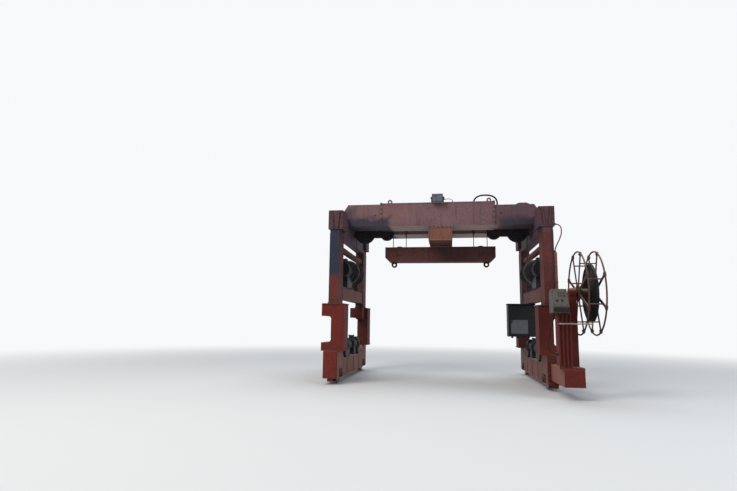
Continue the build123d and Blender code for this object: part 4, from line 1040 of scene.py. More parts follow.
@dataclass
class Studio:
    """Camera at the photograph's angle, soft light and a plain pale floor."""

    place: Point = (0.159, -9.618, 0.944)
    yaw: float = 0.154
    pitch: float = 0.148
    roll: float = 0.013
    lens: float = 25.4
    floor_height: float = -0.021
    floor_reach: float = 60.0

    def camera(self) -> None:
        """Make the camera."""
        data = bpy.data.cameras.new("camera")
        data.lens, data.sensor_width, data.clip_end = self.lens, 36.0, 400.0
        forward = Vector((-math.sin(self.yaw) * math.cos(self.pitch), math.cos(self.yaw) * math.cos(self.pitch),
                          math.sin(self.pitch)))
        level = Vector((math.cos(self.yaw), math.sin(self.yaw), 0.0))
        upright = level.cross(forward)
        right = level * math.cos(self.roll) + upright * math.sin(self.roll)
        up = upright * math.cos(self.roll) - level * math.sin(self.roll)
        obj = stand("camera", data)
        obj.matrix_world = (Matrix.Translation(self.place)
                            @ Matrix((right, up, -forward)).transposed().to_4x4())
        bpy.context.scene.camera = obj

    def lamp(self, name: str, place: Point, aim: Point, size: float, power: float, colour: Rgb) -> None:
        """Add one soft lamp.

        Args:
            name: the lamp's name.
            place: where it hangs.
            aim: the point that it shines at.
            size: its width.
            power: its power in watts.
            colour: its colour.
        """
        data = bpy.data.lights.new(name, "AREA")
        data.shape, data.size, data.energy, data.color = "DISK", size, power, tone(colour)[:3]
        obj = stand(name, data)
        obj.location = place
        obj.rotation_mode = "QUATERNION"
        obj.rotation_quaternion = (Vector(aim) - Vector(place)).to_track_quat("-Z", "Y")

    def world(self) -> None:
        """White world for the camera and gloss, a grey one for the light on the object."""
        world = bpy.data.worlds.new("studio")
        world.use_nodes = True
        bpy.context.scene.world = world
        w = Wiring(world.node_tree)
        rays = w.node("ShaderNodeLightPath").outputs
        seen = w.calc("MAXIMUM", rays["Is Camera Ray"], rays["Is Transmission Ray"])
        seen = w.calc("MAXIMUM", seen, w.times(rays["Is Glossy Ray"], 0.6))
        w.feed(world.node_tree.nodes["Background"], {0: w.blend(seen, (0.56, 0.6, 0.66, 1.0), BACKDROP),
                                                     1: w.calc("ADD", w.times(seen, 0.45), 0.55)})

    def floor(self) -> None:
        """Make the floor, which fades into the backdrop far away."""
        material, w, shader = new_material("floor_grey")
        w.feed(shader, {"Base Color": tone((204, 204, 203)), "Roughness": 0.85, "Specular IOR Level": 0.1})
        away = w.add("ShaderNodeVectorMath", {0: w.coord()}, 1, operation="LENGTH")
        far = w.times(w.ramp(away, 3.5, 15.0), w.add("ShaderNodeLightPath", take="Is Camera Ray"))
        glow = w.add("ShaderNodeEmission", {0: BACKDROP, 1: 1.0})
        w.feed(w.tree.nodes["Material Output"],
               {"Surface": w.add("ShaderNodeMixShader", {0: far, 1: shader.outputs[0], 2: glow})})
        data = bpy.data.meshes.new("floor")
        reach = self.floor_reach
        data.from_pydata([(x * reach, y * reach, self.floor_height) for x, y in ((-1, -1), (1, -1), (1, 1), (-1, 1))],
                         [], [(0, 1, 2, 3)])
        data.materials.append(material)
        stand("floor", data)

    def build(self) -> None:
        """Set up the whole studio, with sky-like light and a soft key from the front left."""
        self.camera()
        self.lamp("key", (-5.5, -8.5, 9.5), (0.0, 0.0, 1.4), 7.0, 1050.0, (255, 252, 246))
        self.lamp("fill", (7.5, -7.0, 4.5), (0.5, 0.0, 1.4), 6.0, 330.0, (240, 246, 255))
        self.lamp("sky", (0.0, 3.0, 12.0), (0.0, 0.0, 1.5), 9.0, 800.0, (246, 250, 255))
        self.world()
        self.floor()
        bpy.context.scene.view_settings.view_transform = "Standard"


@dataclass(frozen=True)
class Route:
    """A loose cable's control points, size and facts, with its direction at either end."""

    node: str
    points: tuple[Point, ...]
    radius: float
    length: float
    finish: Finish
    ends: tuple[tuple[Axis, int], ...] = ()
    stiffness: str = "medium"


@dataclass
class LooseCables:
    """Hoses and cables that hang in their own curves, with the fittings at their ends."""

    hose: Route = Route("hose_arch", (
        (0.608, -0.43, 3.045), (0.608, -0.43, 3.097), (0.629, -0.429, 3.147), (0.668, -0.427, 3.185),
        (0.728, -0.424, 3.209), (0.814, -0.42, 3.217), (0.9, -0.416, 3.209), (0.96, -0.413, 3.185),
        (0.999, -0.411, 3.147), (1.02, -0.41, 3.097), (1.02, -0.41, 2.985)), 0.015, 0.679, Finish.HOSE,
        stiffness="stiff")
    flex: Route = Route("lamp_flex", (
        (0.09, -0.63, 3.107), (0.125, -0.63, 3.107), (0.165, -0.63, 3.112), (0.2034, -0.63, 3.107),
        (0.2266, -0.63, 3.0936), (0.24, -0.63, 3.0704), (0.24, -0.63, 3.045)), 0.005, 0.191, Finish.SHEATH,
        ((Axis.X, 1), (Axis.Z, 1)))
    console: Route = Route("console_cable", (
        (1.545, -2.3, 1.11), (1.545, -2.3, 1.05), (1.525, -2.3, 0.98), (1.497, -2.3, 0.89), (1.473, -2.3, 0.79),
        (1.46, -2.3, 0.7), (1.46, -2.3, 0.639), (1.484, -2.3, 0.597), (1.526, -2.3, 0.573), (1.578, -2.3, 0.573)),
        0.009, 0.627, Finish.SHEATH, ((Axis.Z, -1), (Axis.X, -1)))
    conduit: Route = Route("duct_hose", (
        (1.7775, -1.3625, 2.05), (1.7775, -1.3625, 2.1), (1.8075, -1.3625, 2.17), (1.8575, -1.3625, 2.27),
        (1.8852, -1.3625, 2.35), (1.8852, -1.3625, 2.4338), (1.8624, -1.3625, 2.4732), (1.823, -1.3625, 2.496),
        (1.78, -1.3625, 2.496)), 0.009, 0.536, Finish.CONDUIT, ((Axis.Z, 1), (Axis.X, 1)))

    def gland(self, former: Former, place: Point, axis: Axis, hand: int, radius: float) -> None:
        """Add a nut and a tapered sleeve where a cable enters a wall.

        Args:
            former: the mesh that it goes into.
            place: the point on the wall.
            axis: the cable's direction there.
            hand: 1 where the cable leaves towards the axis, -1 against it.
            radius: the cable's radius.
        """
        sleeve = ((-0.002, 0.0), (-0.002, 2.0), (0.012, 2.0), (0.02, 1.45), (0.032, 1.12), (0.032, 0.0))
        nut = ((-0.001, 0.0), (-0.001, 2.35), (0.008, 2.35), (0.008, 0.0))
        for steps, sides in ((sleeve, 18), (nut, 6)):
            former.lathe([(d, r * radius) for d, r in steps], place, axis, sides, hand)

    def cable(self, route: Route, ends: Thing) -> None:
        """Args:
            route: the cable's route and facts.
            ends: the piece with the fittings at its ends; not used.
        """
        name = f"{route.node}_cover"
        data = bpy.data.curves.new(name, "CURVE")
        data.dimensions = "3D"
        spline = data.splines.new("NURBS")
        spline.points.add(len(route.points) - 1)
        for point, place in zip(spline.points, route.points):
            point.co = (*place, 1.0)
        spline.order_u = 3
        spline.use_endpoint_u = True
        spline.resolution_u = 16
        data.bevel_depth = route.radius
        data.bevel_resolution = 5
        data.use_fill_caps = True
        data.materials.append(PALETTE.material(route.finish))
        obj = stand(name, data)
        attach(obj, "chassis")
        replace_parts(obj, route.node)
        log.info("%s: cable %.3f m long", name, route.length)

    def build(self) -> None:
        """Make the hose, the lamp's flex, the console's cable and the duct's conduit."""
        fittings = Former()
        for place in (self.hose.points[0], self.hose.points[-1]):
            for low, high, radius, sides in ((0.0, 0.042, 0.021, 24), (0.0, 0.016, 0.029, 6),
                                             (0.042, 0.05, 0.0185, 24)):
                fittings.rod(place, Axis.Z, low, high, radius, sides)
        self.cable(self.hose, fittings.piece("hose_arch_fittings", Finish.PALE))
        for route in (self.flex, self.console, self.conduit):
            glands = Former()
            for place, (axis, hand) in zip((route.points[0], route.points[-1]), route.ends):
                self.gland(glands, place, axis, hand, route.radius)
            self.cable(route, glands.piece(f"{route.node}_glands", Finish.SHEATH))


@dataclass
class HoistRopes:
    """Wire rope of both winches as laid strands, with its sockets and drum windings."""

    radius: float = 0.007
    lead_x: float = 1.5677
    lead_top: float = 2.2
    drum_x: float = 1.67
    drum_z: float = 1.86
    big_x: float = 1.3954
    big_reach: float = 0.1723
    small_x: float = 0.9826
    small_reach: float = 0.1213
    sheave_z: float = 2.61
    pulley_x: float = 0.74
    pulley_z: float = 2.238
    wound_low: float = -0.2345
    wound_high: float = -0.0085
    wound_reach: float = 0.1035
    wound_pitch: float = 0.0142
    wound_steps: int = 36

    def arc(self, side: int, x: float, z: float, reach: float, first: float, last: float) -> list[Point]:
        """Points of the rope round a sheave.

        Args:
            side: -1 on the left, 1 on the right.
            x: distance of the sheave's axis from the machine's middle.
            z: height of its axis.
            reach: distance of the rope's middle from the axis.
            first: angle of the first point in degrees, from outwards to up.
            last: angle of the last point.

        Returns:
            The points in order.
        """
        steps = max(2, int(abs(last - first) / 5))
        angles = [math.radians(first + (last - first) * k / steps) for k in range(steps + 1)]
        return [(side * (x + reach * math.cos(t)), 0.0, z + reach * math.sin(t)) for t in angles]

    def strand(self, name: str, lines: Lines, body: str | None, node: str) -> None:
        """Grow laid rope on lines in place of a CAD node.

        Args:
            name: the piece's name.
            lines: where the rope runs.
            body: the body that it moves with, or None for the falls, which stretch between two.
            node: the CAD node that it stands for.
        """
        rope = lines.grow(name, TREES.rope, Finish.ROPE, body, {"Radius": self.radius * 1.03})
        if not body:
            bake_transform(rope)
        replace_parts(rope, node)

    def windings(self, side: int) -> None:
        """Wind the stored rope on a drum.

        Args:
            side: -1 for the left drum, 1 for the right one.
        """
        width = self.wound_high - self.wound_low
        count = int(width / self.wound_pitch) * self.wound_steps
        places = []
        for k in range(count + 1):
            angle = 2 * math.pi * k / self.wound_steps
            places.append((side * self.drum_x + self.wound_reach * math.cos(angle),
                           self.wound_low + self.radius + (width - 2 * self.radius) * k / count,
                           self.drum_z + self.wound_reach * math.sin(angle)))
        wound = Lines()
        wound.run(*places)
        wound.grow(f"drum_windings_{SIDE_NAMES[side]}", TREES.rope, Finish.ROPE, f"winch_drum_{SIDE_NAMES[side]}",
                   {"Radius": 0.0074, "Section": 14, "Step": 0.012})

    def build(self) -> None:
        """Make the lead ropes, the falls, the half turns, the sockets and the windings."""
        degrees = math.degrees(math.acos((self.small_reach - self.big_reach) / (self.big_x - self.small_x)))
        leads, falls, turns, sockets = Lines(), Lines(), Lines(), Former()
        for side in SIDES:
            leads.run((side * self.lead_x, 0.0, self.drum_z), (side * self.lead_x, 0.0, self.lead_top),
                      *self.arc(side, self.big_x, self.sheave_z, self.big_reach, 0.0, degrees),
                      *self.arc(side, self.small_x, self.sheave_z, self.small_reach, degrees, 180.0))
            for x in (self.pulley_x + self.small_reach, self.pulley_x - self.small_reach):
                falls.run((side * x, 0.0, self.pulley_z), (side * x, 0.0, self.sheave_z))
            turns.run(*self.arc(side, self.pulley_x, self.pulley_z, self.small_reach, 180.0, 360.0))
            self.windings(side)
            x = side * (self.pulley_x - self.small_reach)
            sockets.lathe([(-0.05, 0.0), (-0.05, 0.0085), (-0.044, 0.0105), (-0.004, 0.0175), (0.0, 0.019),
                           (0.018, 0.019), (0.022, 0.0165), (0.04, 0.0165), (0.04, 0.0)],
                          (x, 0.0, self.sheave_z), Axis.Z, 20)
            for hand in SIDES:
                sockets.rod((x, 0.0, self.sheave_z + 0.053), Axis.Y, hand * 0.024, hand * 0.034, 0.028, 24)
        self.strand("lead_ropes", leads, "chassis", "hoist_ropes")
        self.strand("pulley_half_turns", turns, "spreader", "pulley_ropes")
        self.strand("hanging_falls", falls, None, "rope_falls")
        sockets.piece("rope_sockets", Finish.BOLT)


@dataclass
class GirderDetail:
    """Seams, lips, joint bolts and lug welds of the twin girder."""

    half: float = 0.66
    end_half: float = 0.651
    bottom: float = 2.628
    top: float = 3.045
    left: float = -1.03
    right: float = 0.96
    left_top: float = 3.033
    right_top: float = 2.985
    slot: float = 0.18
    lug: tuple[float, float] = (0.865, 0.56)
    block: tuple[float, float] = (-0.18, 0.23)
    block_foot: float = 2.378

    def end_top(self, x: float) -> float:
        """Top of the end length on the side of x."""
        return self.left_top if x < 0 else self.right_top

    def build(self) -> None:
        """Make the seams, trims and bolts."""
        trims, welds, bolts = Former(), Lines(), Lines()
        low = self.bottom + 0.012
        first, last = self.left + 0.04, self.right - 0.04
        for end in SIDES:
            back, face, seam = end * self.half, end * (self.half + 0.009), end * (self.half + 0.001)
            out, edge, flat = Axis.Y.facing(end), end * (self.end_half + 0.001), end * (self.end_half + 0.0005)
            trims.box((first, back, self.top - 0.01), (last, face, self.top + 0.004))
            for x in (-0.62, -0.2, 0.26, 0.62):
                trims.box((x, back, self.bottom + 0.014), (x + 0.01, face, self.bottom + 0.05))
            welds.run((first, seam, self.bottom + 0.0165), (last, seam, self.bottom + 0.0165))
            for x in (self.left - 0.0005, self.right + 0.0005):
                top = self.end_top(x)
                welds.run((x, edge, low), (x, edge, top), (x, end * (self.slot + 0.02), top))
            for x in (-1.33, 1.24):
                welds.run((x, flat, low), (x, flat, self.end_top(x)))
            for x in (self.left + 0.02, self.right - 0.02):
                bolts.grid((x, end * (self.half + 0.015), self.bottom + 0.06), (0, 0, 0.085), (1, 1, 5), out)
            for x in (-1.12, 1.05):
                bolts.grid((x, end * (self.end_half + 0.002), self.bottom + 0.07), (0, 0, 0.14), (1, 1, 2), out)
            for side in SIDES:
                x, y, z = side * self.lug[0], end * self.lug[1], self.top + 0.001
                welds.frame((x - 0.053, y - 0.032, z), (x + 0.053, y + 0.032, z))
                for dy in (-0.012, 0.012):
                    welds.run((x - 0.042, y + dy, z + 0.008), (x + 0.042, y + dy, z + 0.008))
                welds.run((side * 1.6, edge, 2.771), (side * 1.679, edge, 2.771),
                          (side * 1.681, edge, self.end_top(side) - 0.11))
        trims.piece("girder_trims", Finish.GIRDER)
        welds.seams("girder_welds", Finish.GIRDER, 0.0045)
        bolts.heads("girder_bolts", 0.011, 0.009)
        self.middle()

    def middle(self) -> None:
        """Make the flanges and bolts of the block under the girder's middle."""
        flanges, bolts = Former(), Lines()
        (low, high), foot, top = self.block, self.block_foot, self.bottom - 0.03
        for end in SIDES:
            y0, y1 = end * self.half, end * (self.half + 0.012)
            flanges.box((low, y0, top), (high, y1, self.bottom - 0.001))
            flanges.box((low, y0, foot), (high, y1, foot + 0.014))
            for x in (low, high - 0.014):
                flanges.box((x, y0, foot + 0.014), (x + 0.014, y1, top))
            bolts.grid((low + 0.03, y1 + end * 0.002, self.bottom - 0.0155), (0.07, 0, 0), (6, 1, 1),
                       Axis.Y.facing(end))
        flanges.piece("centre_block_flanges", Finish.GIRDER)
        bolts.heads("centre_block_bolts", 0.009, 0.008)


@dataclass
class PortalDetail:
    """Angles, end plates, bolts and seams of the legs, columns and lengthwise beams."""

    inner: float = 1.05
    outer: float = 1.4
    column: tuple[float, float] = (1.6, 1.755)
    column_middle: float = 1.6775
    window: tuple[float, float, float, float] = (1.61, 1.745, 1.34, 1.55)
    leg: Point = (1.5, 1.705, 1.86)
    leg_ends: tuple[float, float] = (0.518, 1.232)
    opening: tuple[float, float] = (0.63, 1.05)
    truck_top: float = 0.5
    ledge: float = 1.27
    beam: tuple[float, float] = (2.39, 2.77)
    head: Point = (1.545, 1.78, 2.46)
    tie_height: float = 2.195

    def columns(self) -> None:
        """Make the foot angles, seams, tie flanges and bolts of the columns."""
        angles, welds, bolts = Former(), Lines(), Lines()
        low, high = self.ledge + 0.002, self.beam[0]
        for side, end in CORNERS:
            x0, x1 = side * self.column[0], side * self.column[1]
            middle, y, inside = (x0 + x1) / 2, end * self.outer, end * self.inner
            angles.box((middle - 0.066, y, self.ledge), (middle + 0.066, y + end * 0.009, self.ledge + 0.07), 0.003)
            bolts.grid((middle - 0.045, y + end * 0.011, self.ledge + 0.042), (0.045, 0, 0), (3, 1, 1),
                       Axis.Y.facing(end))
            for x, face in product((x0, x1), (y, inside)):
                welds.run((x, face, low), (x, face, high))
            welds.run((x0, y, low), (x1, y, low))
            near, (left, right, foot, top) = inside - end * 0.001, self.window
            a, b = side * left, side * right
            for z in (foot, top):
                welds.run((a, near, z), (b, near, z))
            welds.run((a, near, foot), (a, near, top))
            x = side * self.column_middle
            angles.lathe([(0.0, 0.0), (0.0, 0.077), (0.003, 0.08), (0.012, 0.08), (0.015, 0.077), (0.015, 0.0)],
                         (x, inside, self.tie_height), Axis.Y, 32, -end)
            bolts.circle((x, inside - end * 0.017, self.tie_height), Axis.Y, -end, 0.0675, 6, 30.0)
        angles.piece("column_fittings", Finish.FRAME)
        welds.seams("column_welds", Finish.FRAME, 0.0045)
        bolts.heads("column_bolts", 0.0085, 0.008)

    def heads(self) -> None:
        """Make the bolts and seams of the ribbed heads."""
        welds, bolts = Lines(), Lines()
        low, high = self.head[2], self.beam[1]
        for side, end in CORNERS:
            y, inside = end * (self.outer + 0.02), end * self.inner
            for x in (self.head[0] + 0.018, self.head[1] - 0.018):
                bolts.grid((side * x, y + end * 0.002, low + 0.03), (0, 0, 0.083), (1, 1, 4), Axis.Y.facing(end))
            welds.frame((side * self.head[0], y, low), (side * self.head[1], y, high))
            x = side * (self.column[0] - 0.055)
            welds.run((x, inside, low), (x, inside, high), (x, end * self.outer, high))
        welds.seams("head_welds", Finish.FRAME, 0.004)
        bolts.heads("head_bolts", 0.0095, 0.009)

    def legs(self) -> None:
        """Make the foot plates, seams and bolts of the lower legs."""
        plates, welds, bolts = Former(), Lines(), Lines()
        inner, web, outer = self.leg
        (foot, top), (low, high), base = self.leg_ends, self.opening, self.truck_top
        for side, end in CORNERS:
            y0, y1 = end * self.inner, end * self.outer
            for y, far, bolt_y in ((y1, 1.447, 1.43), (y0, 1.003, 1.025)):
                plates.box((side * 1.6, y, base), (side * 1.8, end * far, base + 0.012))
                bolts.grid((side * 1.7 - 0.07, end * bolt_y, base + 0.014), (0.07, 0, 0), (3, 1, 1))
            for y in (y0, y1):
                for x, z0, z1 in ((inner, foot, top), (outer, foot, low), (outer, high, top)):
                    welds.run((side * x, y, z0), (side * x, y, z1))
                welds.run((side * (outer - 0.002), y, low), (side * (web + 0.06), y, low))
                welds.run((side * web, y, low + 0.06), (side * web, y, high - 0.06))
                welds.run((side * (outer - 0.002), y, high), (side * (web + 0.06), y, high))
            for z in (foot, top):
                welds.run((side * inner, y1 + end * 0.001, z), (side * outer, y1 + end * 0.001, z))
            bolts.grid((side * self.column_middle - 0.055, y1 + end * 0.014, 1.241), (0.055, 0, 0), (3, 1, 1),
                       Axis.Y.facing(end))
            if end > 0:
                for x in (1.56, web):
                    welds.run((side * x, 0.75, 1.249), (side * x, 0.75, 1.16))
                    welds.run((side * x, 0.89, 1.02), (side * x, self.inner, 1.02))
        plates.piece("leg_foot_plates", Finish.LEG)
        welds.seams("leg_welds", Finish.LEG, 0.0045)
        bolts.heads("leg_bolts", 0.0095, 0.009)

    def build(self) -> None:
        """Make the whole portal's detail."""
        self.columns()
        self.heads()
        self.legs()


@dataclass
class TruckDetail:
    """Bearing plates, flange strips, rail guards and bolts of the end carriages and the nose beam."""

    rail_x: float = 1.7
    half_width: float = 0.11
    bottom: float = 0.075
    length: float = 1.45
    wheel_y: float = 1.15
    wheel_z: float = 0.13
    middle_top: float = 0.36
    end_top: float = 0.5
    nose_x: tuple[float, float] = (1.635, 1.89)
    nose_z: tuple[float, float] = (0.152, 0.382)
    nose_tip: float = -2.4
    nose_root: float = -1.472

    def axle(self, housings: Former, bolts: Lines, x: float, y: float, hand: int) -> None:
        """Add an axle's bearing plate, cover and bolts on a carriage's wall.

        Args:
            housings: mesh that takes the plate and the cover.
            bolts: lines that take the bolts.
            x: the wall's face.
            y: the axle's place along the carriage.
            hand: direction in which the wall looks along X.
        """
        z = self.wheel_z
        housings.box((x, y - 0.085, z - 0.052), (x + hand * 0.008, y + 0.085, z + 0.085))
        bolts.grid((x + hand * 0.01, y - 0.068, z + 0.066), (0, 0.136, -0.1), (1, 2, 2), Axis.X.facing(hand))
        housings.lathe([(0.01, 0.0), (0.01, 0.047), (0.0215, 0.047), (0.024, 0.043), (0.024, 0.03), (0.0205, 0.028),
                        (0.0205, 0.0)], (x, y, z), Axis.X, 28, hand)
        bolts.circle((x + hand * 0.0255, y, z), Axis.X, hand, 0.0365, 6)

    def build(self) -> None:
        """Make the detail of both carriages."""
        low, high = self.bottom + 0.012, self.middle_top - 0.012
        for side in SIDES:
            plates, housings, bolts, welds = Former(), Former(), Lines(), Lines()
            rail = side * self.rail_x
            for hand in SIDES:
                x = rail + hand * self.half_width
                for end in SIDES:
                    self.axle(housings, bolts, x, end * self.wheel_y, hand)
                for span, z0, z1 in ((0.95, self.bottom, low), (0.885, high, self.middle_top)):
                    plates.box((x, -span, z0), (x + hand * 0.01, span, z1))
                welds.run((x, -0.95, low + 0.002), (x, 0.95, low + 0.002))
                for y in (-0.6, 0.0, 0.6):
                    plates.box((x, y - 0.004, low), (x + hand * 0.008, y + 0.004, high))
                for end in SIDES:
                    for y, z0, z1 in ((0.89, self.bottom + 0.002, self.middle_top + 0.002), (1.0, 0.3, self.end_top),
                                      (self.length, self.bottom + 0.002, self.end_top)):
                        welds.run((x, end * y, z0), (x, end * y, z1))
            for end in SIDES:
                if end > 0 or side < 0:
                    y = end * self.length
                    plates.box((rail - 0.105, y, self.bottom + 0.005), (rail + 0.105, y + end * 0.008, 0.495), 0.003)
                    bolts.grid((rail - 0.088, y + end * 0.01, 0.12), (0.176, 0, 0.11), (2, 1, 4), Axis.Y.facing(end))
                plates.box((rail - 0.045, end * 1.405, 0.024), (rail + 0.045, end * 1.42, self.bottom))
            name = SIDE_NAMES[side]
            plates.piece(f"truck_plates_{name}", Finish.TRUCK)
            housings.piece(f"axle_housings_{name}", Finish.DARK)
            bolts.heads(f"truck_bolts_{name}", 0.0075, 0.007)
            welds.seams(f"truck_welds_{name}", Finish.TRUCK, 0.004)
        self.nose()

    def nose(self) -> None:
        """Make the seams, end cover and joint bolts of the nose beam."""
        cover, welds, bolts = Former(), Lines(), Lines()
        (x0, x1), (z0, z1), tip, root = self.nose_x, self.nose_z, self.nose_tip, self.nose_root
        cover.box((x0 + 0.006, tip - 0.007, z0 + 0.006), (x1 - 0.006, tip, z1 - 0.006), 0.003)
        for x, z in product(self.nose_x, self.nose_z):
            welds.run((x, tip, z), (x, root, z))
        bolts.grid((1.61, root, 0.42), (0.065, 0, 0.05), (5, 1, 2), Axis.Y.facing(-1))
        bolts.grid((1.612, root, 0.17), (0, 0, 0.07), (1, 1, 3), Axis.Y.facing(-1))
        cover.piece("nose_end_cover", Finish.NOSE)
        welds.seams("nose_welds", Finish.NOSE, 0.0045)
        bolts.heads("nose_bolts", 0.011, 0.01)


@dataclass
class MotorDetail:
    """Fins, fan grilles, covers, terminal boxes and bolts of the winches and travel drives."""

    drive_x: float = 1.7
    drive_z: float = 0.56
    gear_y: float = 0.6
    drum_y: float = 0.262

    def fan(self, shell: Former, rings: Lines, centre: Point, hand: int, radius: float) -> None:
        """Add a fan's cowl and its grille at a motor's end.

        Args:
            shell: mesh that takes the cowl.
            rings: lines that take the grille's rings.
            centre: middle of the motor's end face.
            hand: direction of that face along Y.
            radius: the motor's radius there.
        """
        shell.lathe([(-0.05, radius + 0.004), (0.004, radius + 0.004), (0.012, radius - 0.006), (0.012, radius - 0.02),
                     (0.002, radius - 0.022), (-0.05, radius - 0.002)], centre, Axis.Y, 40, hand)
        shell.rod(centre, Axis.Y, 0.0, hand * 0.011, radius * 0.2, 20)
        long = radius - 0.012
        for k in range(4):
            shell.box((-0.0025, hand * 0.004, -long), (0.0025, hand * 0.009, long), 0.001,
                      turned(centre, 45 * k, Axis.Y))
        for share in (0.36, 0.5, 0.64, 0.78):
            rings.spot((centre[0], centre[1] + hand * 0.009, centre[2]), Axis.Y.value, radius * share)

    def winches(self) -> None:
        """Make the winches' motors, gearboxes and bearing covers."""
        shell, rings, bolts, roots = Former(), Lines(), Lines(), Lines()
        for side in SIDES:
            x, z = side * HoistRopes.drum_x, HoistRopes.drum_z
            self.fan(shell, rings, (x, -0.866, z), -1, 0.146)
            for y in (-0.318, -0.47):
                shell.lathe([(-0.01, 0.14), (-0.01, 0.159), (-0.008, 0.161), (0.008, 0.161), (0.01, 0.159),
                             (0.01, 0.14)], (x, y, z), Axis.Y, 48)
            shell.lathe([(0.0, 0.13), (0.0, 0.151), (0.012, 0.151), (0.014, 0.149), (0.014, 0.13)], (x, -0.48, z),
                        Axis.Y, 48, -1)
            bolts.circle((x, -0.482, z), Axis.Y, -1, 0.154, 10, 18.0)
            shell.box((x - 0.055, -0.71, z + 0.12), (x + 0.055, -0.585, z + 0.192), 0.006)
            shell.box((x - 0.061, -0.716, z + 0.18), (x + 0.061, -0.579, z + 0.198), 0.003)
            shell.rod((x - side * 0.055, -0.645, z + 0.155), Axis.X, 0.0, -side * 0.028, 0.014, 16)
            bolts.grid((x - 0.048, -0.703, z + 0.199), (0.096, 0.111, 0), (2, 2, 1))
            roots.spot((x, -0.641, z), Axis.Y.value)
            shell.eye((x, -0.39, z + 0.166), 0.02)
            shell.cap((x, 0.306, z), Axis.Y, 1, 0.056, 0.012, 0.016, 0.052)
            bolts.circle((x, 0.3235, z), Axis.Y, 1, 0.044, 4, 45.0)
            for dx, y in product((-0.08, 0.08), (0.33, 0.372, -0.372)):
                bolts.spot((x + dx, y, 1.572), Axis.Z.value)
        shell.piece("winch_motor_shells", Finish.BLACK)
        rings.turns("winch_fan_grilles", Finish.BLACK, "chassis", 0.0022, 40)
        roots.fins("winch_fins", 44, 0.1395, 0.015, 0.0035, 0.29)
        bolts.heads("winch_bolts", 0.0075, 0.007)

    def drums(self) -> None:
        """Make each drum's pale rims, which stand in part for the highlight along its edge, hub plates and rope
        clamps.
        """
        for side in SIDES:
            plates, bolts, rims = Former(), Lines(), Former()
            for end in SIDES:
                x, y, z = centre = (side * HoistRopes.drum_x, end * self.drum_y, HoistRopes.drum_z)
                # Pale rim ring, partly a painted highlight along the drum's edge.
                rims.lathe([(-0.0105, 0.214), (-0.0105, 0.2165), (-0.0015, 0.2165), (0.0012, 0.2145), (0.0012, 0.206),
                            (0.0, 0.2055), (-0.001, 0.2055), (-0.001, 0.214)], centre, Axis.Y, 64, end)
                plates.lathe([(0.0, 0.033), (0.0, 0.086), (0.007, 0.086), (0.009, 0.084), (0.009, 0.033)], centre,
                             Axis.Y, 36, end)
                bolts.circle((x, y + end * 0.0105, z), Axis.Y, end, 0.066, 8)
                for angle in (40.0, 62.0):
                    turn = turned(centre, angle, Axis.Y)
                    plates.box((-0.017, 0.0, 0.145), (0.017, end * 0.01, 0.185), 0.003, turn)
                    bolts.spot(turn @ Vector((0.0, end * 0.012, 0.165)), Axis.Y.facing(end))
            name = SIDE_NAMES[side]
            rims.piece(f"drum_rims_{name}", Finish.RIM, f"winch_drum_{name}")
            plates.piece(f"drum_plates_{name}", Finish.DRUM, f"winch_drum_{name}")
            bolts.heads(f"drum_bolts_{name}", 0.007, 0.006, f"winch_drum_{name}")

    def drives(self) -> None:
        """Make the travel drives' motors and gearboxes."""
        shell, rings, bolts, roots = Former(), Lines(), Lines(), Lines()
        for side, end in CORNERS:
            x, z, gear = side * self.drive_x, self.drive_z, end * self.gear_y
            self.fan(shell, rings, (x, end * 0.16, z), -end, 0.1)
            roots.spot((x, end * 0.35, z), Axis.Y.value)
            shell.lathe([(-0.012, 0.09), (-0.012, 0.114), (-0.01, 0.116), (0.002, 0.116), (0.002, 0.09)],
                        (x, end * 0.488, z), Axis.Y, 36, end)
            bolts.circle((x, end * 0.474, z), Axis.Y, -end, 0.107, 8, 22.5)
            shell.box((x - 0.042, end * 0.3, z + 0.085), (x + 0.042, end * 0.41, z + 0.145), 0.005)
            shell.box((x - 0.047, end * 0.295, z + 0.138), (x + 0.047, end * 0.415, z + 0.152), 0.003)
            bolts.grid((x - 0.037, end * 0.305, z + 0.153), (0.074, end * 0.1, 0), (2, 2, 1))
            for hand in SIDES:
                face = x + hand * 0.105
                shell.lathe([(0.0, 0.0), (0.0, 0.062), (0.007, 0.062), (0.01, 0.058), (0.01, 0.024), (0.016, 0.022),
                             (0.016, 0.0)], (face, gear, z - 0.03), Axis.X, 28, hand)
                bolts.circle((face + hand * 0.0115, gear, z - 0.03), Axis.X, hand, 0.05, 6)
                shell.box((face, end * 0.495, z - 0.2), (face + hand * 0.012, end * 0.705, z - 0.175))
            shell.cap((x, end * 0.71, z - 0.01), Axis.Y, end, 0.07, 0.008, 0.012, 0.064)
            bolts.circle((x, end * 0.7235, z - 0.01), Axis.Y, end, 0.052, 6)
            shell.eye((x, gear, z + 0.134), 0.018)
        shell.piece("drive_shells", Finish.BLACK)
        rings.turns("drive_fan_grilles", Finish.BLACK, "chassis", 0.002, 32)
        roots.fins("drive_fins", 36, 0.1035, 0.013, 0.003, 0.23)
        bolts.heads("drive_bolts", 0.0065, 0.006)

    def build(self) -> None:
        """Make all motors' detail."""
        self.winches()
        self.drums()
        self.drives()


